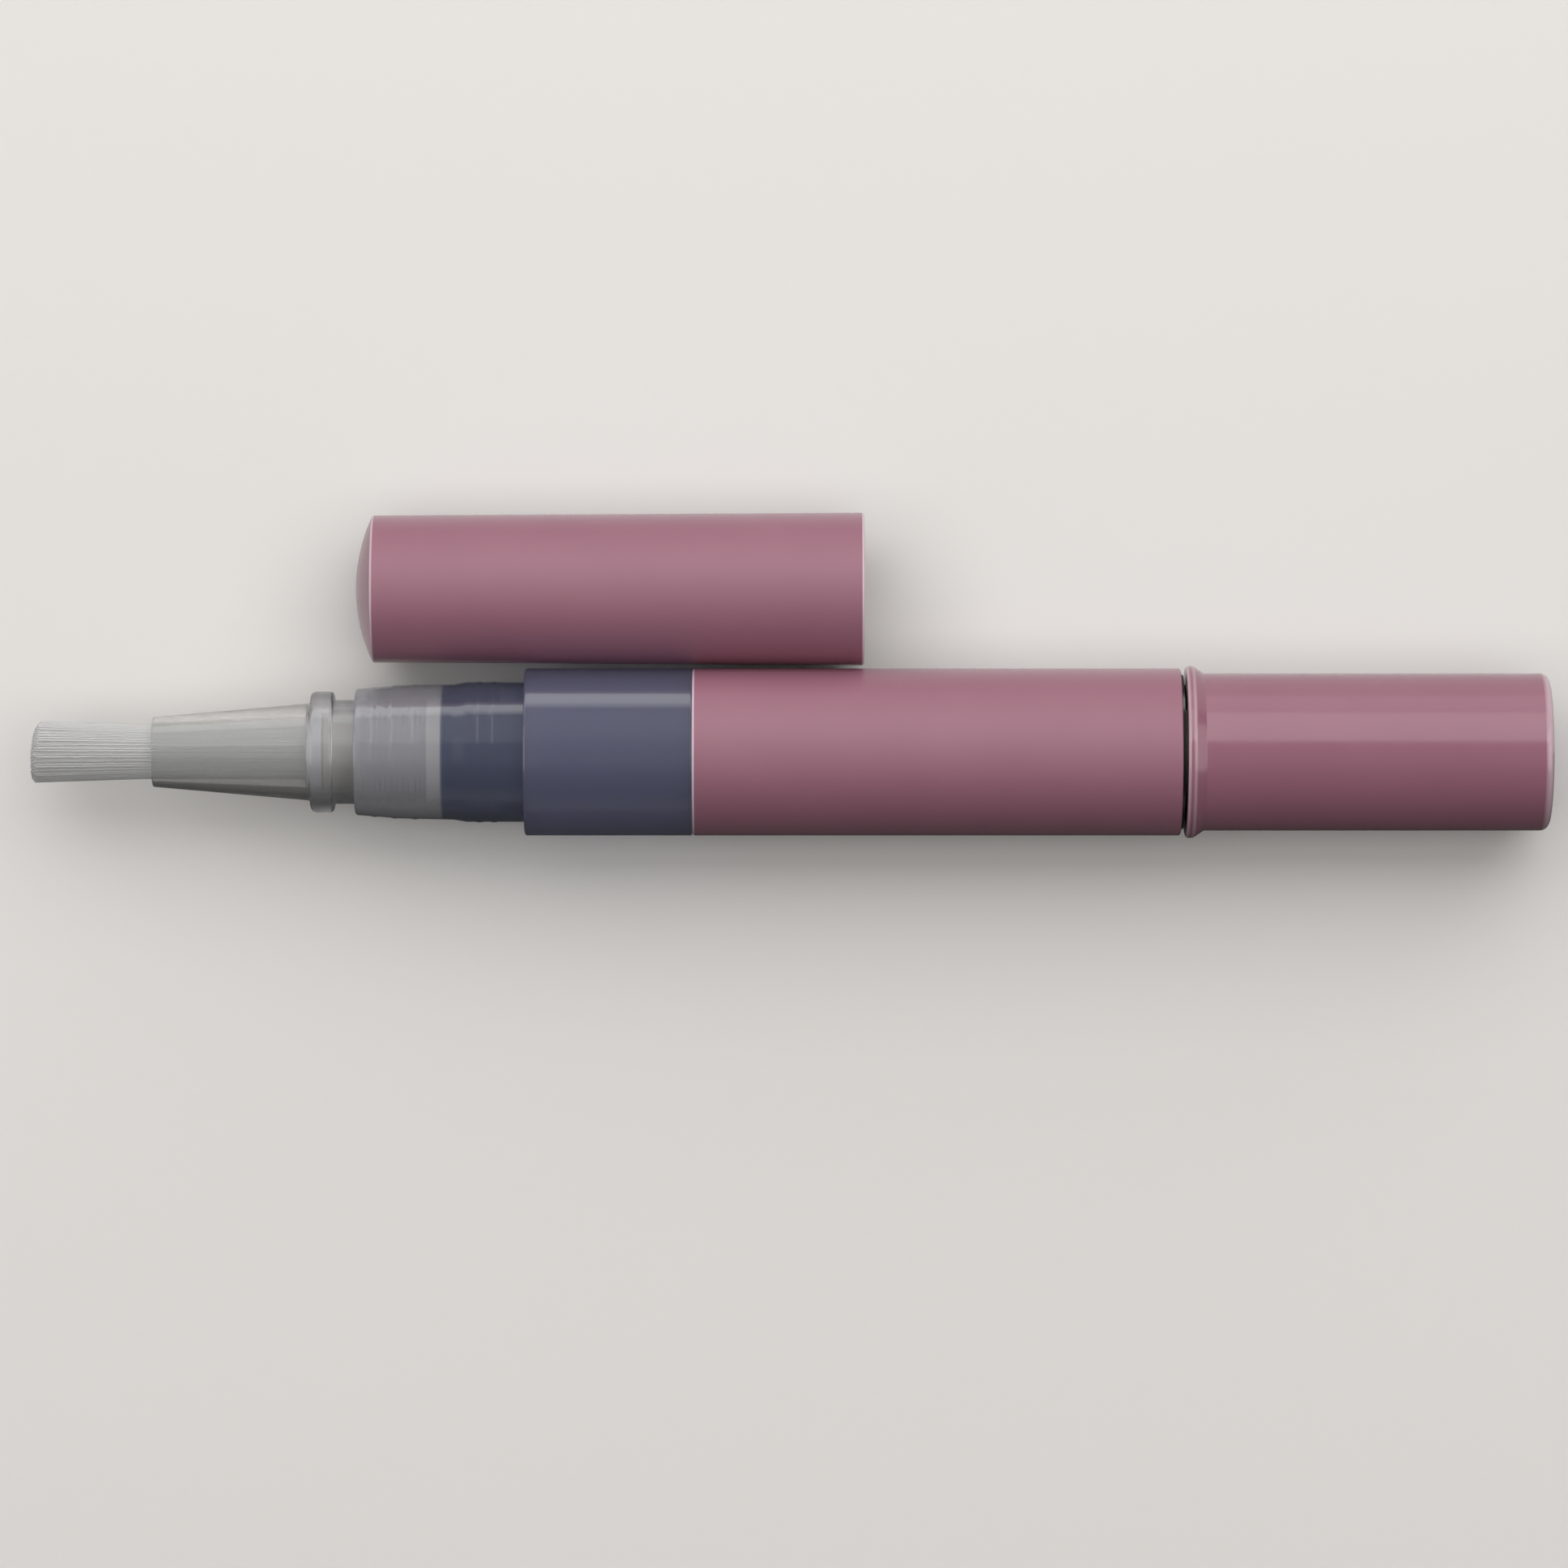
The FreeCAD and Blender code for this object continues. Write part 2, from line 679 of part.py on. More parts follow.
def make_cap_shell():
    """Drawn-out cap with a shallow domed crown and an open mouth."""
    cap_end_x = cap_x + cap_length
    inner_apex_x = cap_x + cap_crown_wall
    skin = outline_edges([
        (cap_x + cap_dome_height, cap_crown_radius),
        (cap_end_x, cap_mouth_radius, cap_lip_rounding),
        (cap_end_x, cap_mouth_bore, cap_lip_rounding),
        (cap_end_x - cap_land_length, cap_mouth_bore),
        (inner_apex_x + cap_dome_height, cap_crown_bore),
    ], closed=False)
    outer_dome = dome_edge(cap_x, cap_crown_radius, cap_dome_height)
    inner_dome = dome_edge(inner_apex_x, cap_crown_bore, cap_dome_height)
    axis = Part.makeLine(V(inner_apex_x, 0, 0), V(cap_x, 0, 0))
    return spun([outer_dome] + skin + [inner_dome, axis])


def make_cap_liner():
    """Inner cup wall that seals on the nozzle's bead when the cap is on."""
    start_x = cap_x + cap_crown_wall + cap_dome_height + seat_gap
    end_x = start_x + liner_length
    bead_end_x = end_x - liner_bead_setback
    return turned([
        (start_x, liner_bore),
        (start_x, liner_radius),
        (end_x, liner_radius),
        (end_x, liner_bore),
        (bead_end_x, liner_bore),
        (bead_end_x - liner_bead_length / 2, liner_bore - liner_bead_height),
        (bead_end_x - liner_bead_length, liner_bore),
    ])


pen_pieces = {
    "brush_bristles": make_brush_bristles,
    "feed_tube": make_feed_tube,
    "brush_holder": make_brush_holder,
    "nozzle": make_nozzle,
    "barrel": make_barrel,
    "outer_sleeve": make_outer_sleeve,
    "piston": make_piston,
    "piston_seal": make_piston_seal,
    "lead_screw": make_lead_screw,
    "feed_nut": make_feed_nut,
    "ratchet_ring": make_ratchet_ring,
    "pawl_ring": make_pawl_ring,
    "drive_sleeve": make_drive_sleeve,
    "retaining_collar": make_retaining_collar,
    "knob_core": make_knob_core,
    "twist_knob": make_twist_knob,
}
cap_pieces = {
    "cap_shell": make_cap_shell,
    "cap_liner": make_cap_liner,
}

# The pen lies on its ring and the cap on its mouth, side by side on the floor
cap_side_y = barrel_radius + cap_mouth_radius + cap_park_gap
middle_y = (cap_side_y + cap_mouth_radius - ring_radius) / 2
pen_place = V(-knob_end_x / 2, -middle_y, ring_radius)
cap_place = V(-knob_end_x / 2, cap_side_y - middle_y, cap_mouth_radius)

os.makedirs("parts", exist_ok=True)
for pieces, place in ((pen_pieces, pen_place), (cap_pieces, cap_place)):
    for name, make in pieces.items():
        solid = make()
        solid.translate(place)
        solid.exportStep("parts/" + name + ".step")
        box = solid.optimalBoundingBox(False, False)
        print(
            f"{name}: {len(solid.Solids)} solid, valid {solid.isValid()}, {solid.Volume:.2f} mm3,"
            f" x {box.XMin:.2f} to {box.XMax:.2f}, y {box.YMin:.2f} to {box.YMax:.2f},"
            f" z {box.ZMin:.2f} to {box.ZMax:.2f}"
        )
print(f"pen length {knob_end_x:.2f}, pen axis y {pen_place.y:.3f}, cap axis y {cap_place.y:.3f}")
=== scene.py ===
# %% [markdown]
# # A twist-feed nail oil pen and its cap
# The pen is a row of plastic mouldings on one axis: a soft brush in a clear nozzle, a frosted oil
# barrel, a pink sleeve and a pink knob that is twisted to push oil forward. Its pink cap lies
# alongside. The imported model already holds every piece at its real size, so this script only
# dresses it. We start by loading that model.

# %% Load the imported model
import json
import math

import bmesh
import bpy
from mathutils import Matrix, Vector


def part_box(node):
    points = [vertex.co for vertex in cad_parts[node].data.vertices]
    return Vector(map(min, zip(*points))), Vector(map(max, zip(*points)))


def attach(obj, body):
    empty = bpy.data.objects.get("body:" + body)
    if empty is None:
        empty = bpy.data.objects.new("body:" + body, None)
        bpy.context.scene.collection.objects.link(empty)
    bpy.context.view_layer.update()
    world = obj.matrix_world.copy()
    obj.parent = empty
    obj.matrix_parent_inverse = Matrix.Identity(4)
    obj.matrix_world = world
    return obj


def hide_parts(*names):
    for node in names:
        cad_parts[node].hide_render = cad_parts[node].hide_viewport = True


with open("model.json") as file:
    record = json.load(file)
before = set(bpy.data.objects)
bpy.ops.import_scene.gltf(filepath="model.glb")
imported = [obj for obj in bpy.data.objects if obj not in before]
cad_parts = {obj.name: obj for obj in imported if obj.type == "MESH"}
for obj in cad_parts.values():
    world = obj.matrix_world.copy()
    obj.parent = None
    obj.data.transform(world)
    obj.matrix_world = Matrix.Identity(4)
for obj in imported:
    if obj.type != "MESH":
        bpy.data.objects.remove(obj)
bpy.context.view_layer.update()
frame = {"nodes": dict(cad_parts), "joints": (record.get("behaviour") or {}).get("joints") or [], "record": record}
MM = 0.001

# %% [markdown]
# ## Where everything lies
# Nothing is placed by eye. The pen's axis is the axis of the knob's joint, and the cap's axis is
# the middle of the space that the cap keeps free. Along each axis we count millimetres from the
# brush tip, or from the cap's crown, because that is how a maker would draw a turned part.

# %% Read the two axes and the pieces' ends
joints = {joint["name"]: joint for joint in frame["joints"]}
openings = {opening["name"]: opening for opening in frame["record"]["physics"]["openings"]}
cap_space_low, cap_space_high = (Vector(corner) for corner in openings["cap_inside"]["box_m"])
cap_middle = (cap_space_low + cap_space_high) / 2
pen_start = Vector(joints["knob_twist"]["pos_m"])
pen_start.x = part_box("brush_bristles")[0].x
cap_start = Vector((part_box("cap_shell")[0].x, cap_middle.y, cap_middle.z))


def reach(node, start):
    """Where a node begins and ends, in millimetres along the axis from its start."""
    low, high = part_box(node)
    return (low.x - start.x) / MM, (high.x - start.x) / MM


nozzle_front, shank_end = reach("nozzle", pen_start)
neck_front, barrel_end = reach("barrel", pen_start)
sleeve_front, sleeve_end = reach("outer_sleeve", pen_start)
ring_front, knob_end = reach("twist_knob", pen_start)
cap_end = reach("cap_shell", cap_start)[1]
print(f"pen {knob_end:.2f} mm long, cap {cap_end:.2f} mm long")

# %% [markdown]
# ## Turning a profile on a lathe
# Almost every piece here is round, so one rule makes them: half of the piece's section is drawn as
# an outline of (distance along the axis, radius) corners, and the outline is spun. Blender's Spin
# operator or a Screw modifier could do it. Geometry Nodes does it with named inputs and no
# operator: a grid has one column of points for each step round the axis, and every grid point looks
# up its place on the outline. First come the helpers that round an outline's corners and that add
# nodes to a tree. Thin moulded edges catch the light, so a corner can also carry a rim number, which
# the mesh keeps as an attribute: the pink finish paints a pale highlight there, and the clear
# finishes glint there.

# %% Round the corners of an outline
ARC_STEP = math.radians(9)
ROUNDING_LIMIT_SHARE = 0.48
# Rim numbers: the pink finish paints a pale highlight on them, and the clear finishes glint there.
FULL_RIM = 1.0
SOFT_RIM = 0.6
GUARD = 0.05  # mm from the end of a long run, where an extra point keeps its shading straight


def rounded(corners):
    """Points (x, radius, rim) of a closed outline.

    A corner is (x, radius, rounding, rim). The last two may be left out.
    """
    points = []
    for i, corner in enumerate(corners):
        x, radius, rounding, rim = (*corner, 0, 0)[:4]
        here = Vector((x, radius))
        if rounding == 0:
            points.append((x, radius, rim))
            continue
        back = Vector(corners[i - 1][:2]) - here
        ahead = Vector(corners[(i + 1) % len(corners)][:2]) - here
        half = back.angle(ahead) / 2
        limit = ROUNDING_LIMIT_SHARE * min(back.length, ahead.length)
        length = min(rounding / math.tan(half), limit)
        inward = (back.normalized() + ahead.normalized()).normalized()
        centre = here + inward * (length / math.cos(half))
        start = here + back.normalized() * length - centre
        end = here + ahead.normalized() * length - centre
        sweep = math.copysign(math.pi - 2 * half, start.cross(end))
        steps = max(3, math.ceil(abs(sweep) / ARC_STEP))
        for k in range(steps + 1):
            point = centre + Matrix.Rotation(sweep * k / steps, 2) @ start
            points.append((*point, rim * math.sin(math.pi * k / steps)))
    return points


def guarded(points):
    """The same outline with a point added just inside both ends of every long run."""
    result = []
    for i, point in enumerate(points):
        here = Vector(point[:2])
        run = Vector(points[(i + 1) % len(points)][:2]) - here
        result.append(point)
        if run.length > 4 * GUARD:
            for place in (GUARD, run.length - GUARD):
                result.append((*(here + run.normalized() * place), 0))
    return result


print("a square corner rounded:", len(rounded([(0, 0), (1, 0), (1, 1, 0.2), (0, 1)])), "points")

# %% Add nodes, and turn a tree into a plain mesh


def add(tree, kind, inputs=None, **settings):
    """Add one node, set its properties, and fill its inputs with values or with links."""
    node = tree.nodes.new(kind)
    for name, value in settings.items():
        setattr(node, name, value)
    for key, value in (inputs or {}).items():
        if isinstance(value, bpy.types.NodeSocket):
            tree.links.new(value, node.inputs[key])
        else:
            node.inputs[key].default_value = value
    return node


def new_tree(name, sockets):
    """An empty geometry tree with named inputs and one geometry output."""
    tree = bpy.data.node_groups.new(name, "GeometryNodeTree")
    for socket, kind in sockets.items():
        tree.interface.new_socket(socket, in_out="INPUT", socket_type=kind)
    tree.interface.new_socket("Piece", in_out="OUTPUT", socket_type="NodeSocketGeometry")
    return tree


def grow(name, tree, values, points=()):
    """Run a tree on a new object, and give the object back with the result as its plain mesh."""
    seed = bpy.data.meshes.new(name)
    seed.from_pydata([(x * MM, radius * MM, rim) for x, radius, rim in points], [], [])
    piece = bpy.data.objects.new(name, seed)
    bpy.context.scene.collection.objects.link(piece)
    modifier = piece.modifiers.new(tree.name, "NODES")
    modifier.node_group = tree
    for item in tree.interface.items_tree:
        if item.in_out == "INPUT" and item.name in values:
            modifier[item.identifier] = values[item.name]
    depsgraph = bpy.context.evaluated_depsgraph_get()
    made = bpy.data.meshes.new_from_object(piece.evaluated_get(depsgraph))
    piece.modifiers.clear()
    piece.data = made
    return piece


print("node helpers ready")

# %% Build the lathe
lathe = new_tree("Turned piece", {
    "Outline": "NodeSocketGeometry",
    "Segments": "NodeSocketInt",
    "Axis start": "NodeSocketVector",
    "Finish": "NodeSocketMaterial",
})
WELD = 0.001 * MM

entry = add(lathe, "NodeGroupInput").outputs
size = add(lathe, "GeometryNodeAttributeDomainSize", {"Geometry": entry["Outline"]})
count = size.outputs["Point Count"]
columns = add(lathe, "ShaderNodeMath", {0: count, 1: 1.0}, operation="ADD")
rows = add(lathe, "ShaderNodeMath", {0: entry["Segments"], 1: 1.0}, operation="ADD")
grid = add(lathe, "GeometryNodeMeshGrid", {
    "Size X": 1.0, "Size Y": 1.0, "Vertices X": columns.outputs[0], "Vertices Y": rows.outputs[0],
})
place = add(lathe, "GeometryNodeInputPosition").outputs[0]
across = add(lathe, "ShaderNodeSeparateXYZ", {0: place}).outputs
shifted = add(lathe, "ShaderNodeMath", {0: across["X"], 1: 0.5}, operation="ADD")
step = add(lathe, "ShaderNodeMath", {0: shifted.outputs[0], 1: count}, operation="MULTIPLY")
whole = add(lathe, "ShaderNodeMath", {0: step.outputs[0]}, operation="ROUND")
wrapped = add(lathe, "ShaderNodeMath", {0: whole.outputs[0], 1: count}, operation="MODULO")
corner = add(lathe, "GeometryNodeSampleIndex", {
    "Geometry": entry["Outline"], "Value": place, "Index": wrapped.outputs[0],
}, data_type="FLOAT_VECTOR", domain="POINT")
drawn = add(lathe, "ShaderNodeSeparateXYZ", {0: corner.outputs["Value"]}).outputs
angle = add(lathe, "ShaderNodeMath", {0: across["Y"], 1: math.tau}, operation="MULTIPLY")
sine = add(lathe, "ShaderNodeMath", {0: angle.outputs[0]}, operation="SINE")
cosine = add(lathe, "ShaderNodeMath", {0: angle.outputs[0]}, operation="COSINE")
sideways = add(lathe, "ShaderNodeMath", {0: drawn["Y"], 1: sine.outputs[0]}, operation="MULTIPLY")
upward = add(lathe, "ShaderNodeMath", {0: drawn["Y"], 1: cosine.outputs[0]}, operation="MULTIPLY")
spun = add(lathe, "ShaderNodeCombineXYZ", {
    0: drawn["X"], 1: sideways.outputs[0], 2: upward.outputs[0],
})
moved = add(lathe, "ShaderNodeVectorMath", {
    0: spun.outputs[0], 1: entry["Axis start"],
}, operation="ADD")
kept_rim = add(lathe, "GeometryNodeStoreNamedAttribute", {
    "Geometry": grid.outputs["Mesh"], "Name": "rim", "Value": drawn["Z"],
}, data_type="FLOAT", domain="POINT")
shell = add(lathe, "GeometryNodeSetPosition", {
    "Geometry": kept_rim.outputs[0], "Position": moved.outputs[0],
})
welded = add(lathe, "GeometryNodeMergeByDistance", {"Geometry": shell.outputs[0], "Distance": WELD})
real = add(lathe, "GeometryNodeRealizeInstances", {"Geometry": welded.outputs[0]})
finished = add(lathe, "GeometryNodeSetMaterial", {
    "Geometry": real.outputs[0], "Material": entry["Finish"],
})
add(lathe, "NodeGroupOutput", {"Piece": finished.outputs[0]})
print("lathe tree has", len(lathe.nodes), "nodes")

# %% Turn a piece and hang it on its body
SEGMENTS = 160
CREASE = math.radians(32)


def smooth(mesh):
    """Drop edges without faces, point the faces outwards, and shade smooth between creases."""
    work = bmesh.new()
    work.from_mesh(mesh)
    loose = [edge for edge in work.edges if not edge.link_faces]
    bmesh.ops.delete(work, geom=loose, context="EDGES")
    bmesh.ops.recalc_face_normals(work, faces=work.faces)
    for face in work.faces:
        face.smooth = True
    work.to_mesh(mesh)
    work.free()
    mesh.set_sharp_from_angle(angle=CREASE)


def hang(piece, body, slot, *nodes):
    """Hang a piece on its body and hide the imported nodes that it stands for. The slot is not used."""
    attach(piece, body)
    if nodes:
        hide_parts(*nodes)
    widest = max(piece.dimensions.y, piece.dimensions.z) / MM
    print(f"{piece.name}: {len(piece.data.polygons)} faces, {widest:.2f} mm across")


def turn(name, outline, start, finish):
    """Spin an outline of points in millimetres about the axis that begins at start."""
    values = {"Segments": SEGMENTS, "Axis start": start, "Finish": finish}
    piece = grow(name, lathe, values, guarded(outline))
    smooth(piece.data)
    return piece


print("one turned piece has", SEGMENTS, "steps round its axis")

# %% [markdown]
# ## Finishes
# A finish starts from a real plastic and from how it was moulded. Colours are written as the sRGB
# hex codes that a paint program shows, and one function makes them linear for the shader. Patterns
# are sized in millimetres of the real surface, so they keep their scale on every piece.

# %% Colours and pattern sizes


def colour(code):
    """Linear RGBA from an sRGB hex code."""
    channels = [int(code[i:i + 2], 16) / 255 for i in (1, 3, 5)]
    linear = [c / 12.92 if c <= 0.04045 else ((c + 0.055) / 1.055) ** 2.4 for c in channels]
    return (*linear, 1.0)


def per_mm(pattern_size):
    """Texture scale that gives a pattern of this size in millimetres."""
    return 1 / (pattern_size * MM)


def new_finish(name):
    """A material with its shader, its tree and the object coordinates that patterns follow."""
    finish = bpy.data.materials.new(name)
    finish.use_nodes = True
    tree = finish.node_tree
    shader = tree.nodes["Principled BSDF"]
    place = add(tree, "ShaderNodeTexCoord").outputs["Object"]
    return finish, tree, shader, place


PINK = "#946373"
print("pink as linear light:", [round(value, 3) for value in colour(PINK)])

# %% [markdown]
# ### Pink ABS, satin and glossy
# The sleeve and the cap are moulded in ABS against a finely blasted tool, which gives a satin skin:
# no clear highlight, a very fine grain, and a pale sheen where the surface turns away from the eye.
# The knob is the same pink from a polished tool, so lamps show in it as strips with clear edges, a
# little wavy as thin mouldings are. Both turn glossy and pale at a slant, through a coat that
# follows Layer Weight, and have a pale highlight painted on their edges, from the rim attribute.
# One function makes both finishes. The real grain is about 0.05 mm, too fine to show, so it is
# drawn at 0.30 mm and kept faint.

# %% Make the pink finishes
PINK_DEEP = "#8E5D6E"
# A pale colour that the rim attribute mixes in: a painted highlight on thin edges.
PAINTED_RIM_HIGHLIGHT = "#E2CBD3"
CLOUD = 7.0
GRAIN = 0.30
RIPPLE = 2.4
SLANT_STARTS = 0.36
SLANT_FULL = 0.64
ABS_IOR = 1.53
SHEEN_IOR = 1.8
SHEEN_ROUGHNESS = 0.12


def pink_abs(name, bump_size, bump_height, dull, shiny, edge_gloss):
    """Moulded pink ABS with a pale highlight painted on its rims. Roughness runs between shiny and dull with the
    grain.
    """
    finish, tree, shader, place = new_finish(name)
    cloud = add(tree, "ShaderNodeTexNoise", {
        "Vector": place, "Scale": per_mm(CLOUD), "Detail": 3.0,
    })
    body = add(tree, "ShaderNodeMix", {
        "Factor": cloud.outputs[0], 6: colour(PINK_DEEP), 7: colour(PINK),
    }, data_type="RGBA")
    # Painted highlight: the rim number mixes a pale colour onto the edges.
    rim = add(tree, "ShaderNodeAttribute", attribute_name="rim")
    tone = add(tree, "ShaderNodeMix", {
        "Factor": rim.outputs["Fac"], 6: body.outputs[2], 7: colour(PAINTED_RIM_HIGHLIGHT),
    }, data_type="RGBA")
    grain = add(tree, "ShaderNodeTexNoise", {
        "Vector": place, "Scale": per_mm(bump_size), "Detail": 2.0,
    })
    rough = add(tree, "ShaderNodeMapRange", {0: grain.outputs[0], 3: shiny, 4: dull})
    bump = add(tree, "ShaderNodeBump", {
        "Height": grain.outputs[0], "Strength": 1.0, "Distance": bump_height * MM,
    })
    tree.links.new(tone.outputs[2], shader.inputs["Base Color"])
    tree.links.new(rough.outputs[0], shader.inputs["Roughness"])
    tree.links.new(bump.outputs[0], shader.inputs["Normal"])
    slant = add(tree, "ShaderNodeLayerWeight", {"Blend": 0.5}).outputs["Facing"]
    skin = add(tree, "ShaderNodeMapRange", {
        0: slant, 1: SLANT_STARTS, 2: SLANT_FULL, 4: edge_gloss,
    })
    tree.links.new(skin.outputs[0], shader.inputs["Coat Weight"])
    shader.inputs["Coat IOR"].default_value = SHEEN_IOR
    shader.inputs["Coat Roughness"].default_value = SHEEN_ROUGHNESS
    shader.inputs["IOR"].default_value = ABS_IOR
    return finish


satin_pink = pink_abs(
    "satin_moulded_abs_pink", GRAIN, bump_height=0.003, dull=0.56, shiny=0.46, edge_gloss=0.6
)
gloss_pink = pink_abs(
    "polished_moulded_abs_pink", RIPPLE, bump_height=0.006, dull=0.24, shiny=0.14, edge_gloss=0.12
)
print("pink finishes:", satin_pink.name, gloss_pink.name)

# %% [markdown]
# ### Clear and frosted plastic
# The nozzle is clear polypropylene and the barrel a smoky, slightly frosted one. Both are real
# walls with two faces, so a Principled shader with transmission bends and dims what is behind them,
# and the small part that isn't transmitted is the milky haze of polypropylene. A moulding tool is
# polished in one place and blasted in another, so a finish here is a list of zones along the pen.
# Where the wall begins to turn away a glossy coat draws one light line, and ridges and edges glint.
# Part of the lamps' light comes through the bent wall by itself. A Transparent shader, for shadow
# rays alone, lets the rest through.

# %% Make the see-through finishes
FLOW = 1.6
FLOW_HEIGHT = 0.004
ZONE_EDGE = 0.10
LINE_STARTS = (0.14, 0.20)
LINE_ENDS = (0.28, 0.36)
LINE_IOR = 1.9
LINE_ROUGHNESS = 0.08
POLYPROPYLENE_IOR = 1.49
LAMP_SHARE = 0.45


def clear_plastic(name, clearness, edge_gloss, zones):
    """See-through moulding in zones: start in mm from the brush tip, tint, roughness, glare."""
    finish, tree, shader, place = new_finish(name)
    along = add(tree, "ShaderNodeSeparateXYZ", {0: place}).outputs["X"]
    tint = colour(zones[0][1])
    rough, glare = zones[0][2:]
    for start, zone_tint, zone_rough, zone_glare in zones[1:]:
        edges = [pen_start.x + (start + side * ZONE_EDGE) * MM for side in (-1, 1)]
        past = add(tree, "ShaderNodeMapRange", {0: along, 1: edges[0], 2: edges[1]}).outputs[0]
        tint = add(tree, "ShaderNodeMix", {
            "Factor": past, 6: tint, 7: colour(zone_tint),
        }, data_type="RGBA").outputs[2]
        rough = add(tree, "ShaderNodeMapRange", {0: past, 3: rough, 4: zone_rough}).outputs[0]
        glare = add(tree, "ShaderNodeMapRange", {0: past, 3: glare, 4: zone_glare}).outputs[0]
    rim = add(tree, "ShaderNodeAttribute", attribute_name="rim").outputs["Fac"]
    glare = add(tree, "ShaderNodeMapRange", {0: rim, 3: glare, 4: 1.0}).outputs[0]
    slant = add(tree, "ShaderNodeLayerWeight", {"Blend": 0.5}).outputs["Facing"]
    rise = add(tree, "ShaderNodeMapRange", {
        0: slant, 1: LINE_STARTS[0], 2: LINE_STARTS[1], 4: edge_gloss,
    })
    skin = add(tree, "ShaderNodeMapRange", {
        0: slant, 1: LINE_ENDS[0], 2: LINE_ENDS[1], 3: rise.outputs[0], 4: 0.0,
    })
    flow = add(tree, "ShaderNodeTexNoise", {
        "Vector": place, "Scale": per_mm(FLOW), "Detail": 2.0,
    })
    bump = add(tree, "ShaderNodeBump", {
        "Height": flow.outputs[0], "Strength": 1.0, "Distance": FLOW_HEIGHT * MM,
    })
    tree.links.new(tint, shader.inputs["Base Color"])
    tree.links.new(rough, shader.inputs["Roughness"])
    tree.links.new(glare, shader.inputs["Specular Tint"])
    tree.links.new(skin.outputs[0], shader.inputs["Coat Weight"])
    tree.links.new(bump.outputs[0], shader.inputs["Normal"])
    shader.inputs["IOR"].default_value = POLYPROPYLENE_IOR
    shader.inputs["Transmission Weight"].default_value = clearness
    shader.inputs["Coat IOR"].default_value = LINE_IOR
    shader.inputs["Coat Roughness"].default_value = LINE_ROUGHNESS
    lamps = add(tree, "ShaderNodeBsdfTransparent", {
        "Color": (LAMP_SHARE, LAMP_SHARE, LAMP_SHARE, 1.0),
    })
    path = add(tree, "ShaderNodeLightPath")
    either = add(tree, "ShaderNodeMixShader", {
        0: path.outputs["Is Shadow Ray"], 1: shader.outputs[0], 2: lamps.outputs[0],
    })
    tree.links.new(either.outputs[0], tree.nodes["Material Output"].inputs["Surface"])
    return finish


WINDOW_LENGTH = 13.0
SEAT_GAP = 0.02
CONE_LENGTH = 12.30
shoulder = sleeve_front - SEAT_GAP - WINDOW_LENGTH
bead_front = nozzle_front + CONE_LENGTH
plug_front, plug_end = reach("brush_holder", pen_start)
clear_pp = clear_plastic("clear_moulded_polypropylene", clearness=0.95, edge_gloss=0.8, zones=[
    (nozzle_front, "#E2E2E1", 0.06, 0.5),
    (bead_front, "#D2D2D6", 0.24, 0.9),
    (neck_front, "#DEDEE0", 0.08, 0.3),
])
smoky_pp = clear_plastic("frosted_moulded_polypropylene", clearness=0.80, edge_gloss=1.0, zones=[
    (neck_front, "#C8C8CD", 0.16, 0.35),
    (plug_end, "#80859C", 0.14, 0.30),
    (shoulder, "#9092AC", 0.30, 0.3),
    # Dark tint under the sleeve: painted shade, so the barrel seen in the gap before the knob looks dark.
    (sleeve_front, "#3A3438", 0.50, 0.3),
])
print(f"window from {shoulder:.2f} to {sleeve_front:.2f} mm")

# %% [markdown]
# ### White mouldings, nylon and rubber
# The plug behind the brush and the works inside are plain white and natural mouldings. Nylon
# filaments are white with a little light passing through them, and vary slightly from one to the
# next, so their colour has streaks along the brush. The piston's ring is black rubber.

# %% Make the plain finishes
MOTTLE = 1.2
GLOW_DEPTH = 0.3


def moulded(name, pale, deep, dull, shiny, mottle=(1.0, 1.0, 1.0), glow=0.0):
    """Opaque moulding with faint mottling, squeezed by mottle. Glow is the share of light inside."""
    finish, tree, shader, place = new_finish(name)
    stretched = add(tree, "ShaderNodeMapping", {"Vector": place, "Scale": mottle})
    cloud = add(tree, "ShaderNodeTexNoise", {
        "Vector": stretched.outputs[0], "Scale": per_mm(MOTTLE), "Detail": 3.0,
    })
    tone = add(tree, "ShaderNodeMix", {
        "Factor": cloud.outputs[0], 6: colour(deep), 7: colour(pale),
    }, data_type="RGBA")
    rough = add(tree, "ShaderNodeMapRange", {0: cloud.outputs[0], 3: shiny, 4: dull})
    tree.links.new(tone.outputs[2], shader.inputs["Base Color"])
    tree.links.new(rough.outputs[0], shader.inputs["Roughness"])
    shader.inputs["Subsurface Weight"].default_value = glow
    shader.inputs["Subsurface Radius"].default_value = (1.0, 1.0, 1.0)
    shader.inputs["Subsurface Scale"].default_value = GLOW_DEPTH * MM
    return finish


white_pp = moulded(
    "white_moulded_polypropylene", "#BFBDB2", "#B3B0A4", dull=0.50, shiny=0.38, glow=0.2
)
natural_pe = moulded(
    "natural_moulded_polyethylene", "#CDCCC8", "#BDBCB7", dull=0.52, shiny=0.40, glow=0.3
)
nylon = moulded(
    "white_nylon_filament", "#D4D3D1", "#C4C3C0", dull=0.55, shiny=0.42,
    mottle=(0.05, 4.0, 4.0), glow=0.9,
)
rubber = moulded("black_nitrile_rubber", "#26262A", "#1C1C20", dull=0.70, shiny=0.55)
print("plain finishes:", white_pp.name, natural_pe.name, nylon.name, rubber.name)
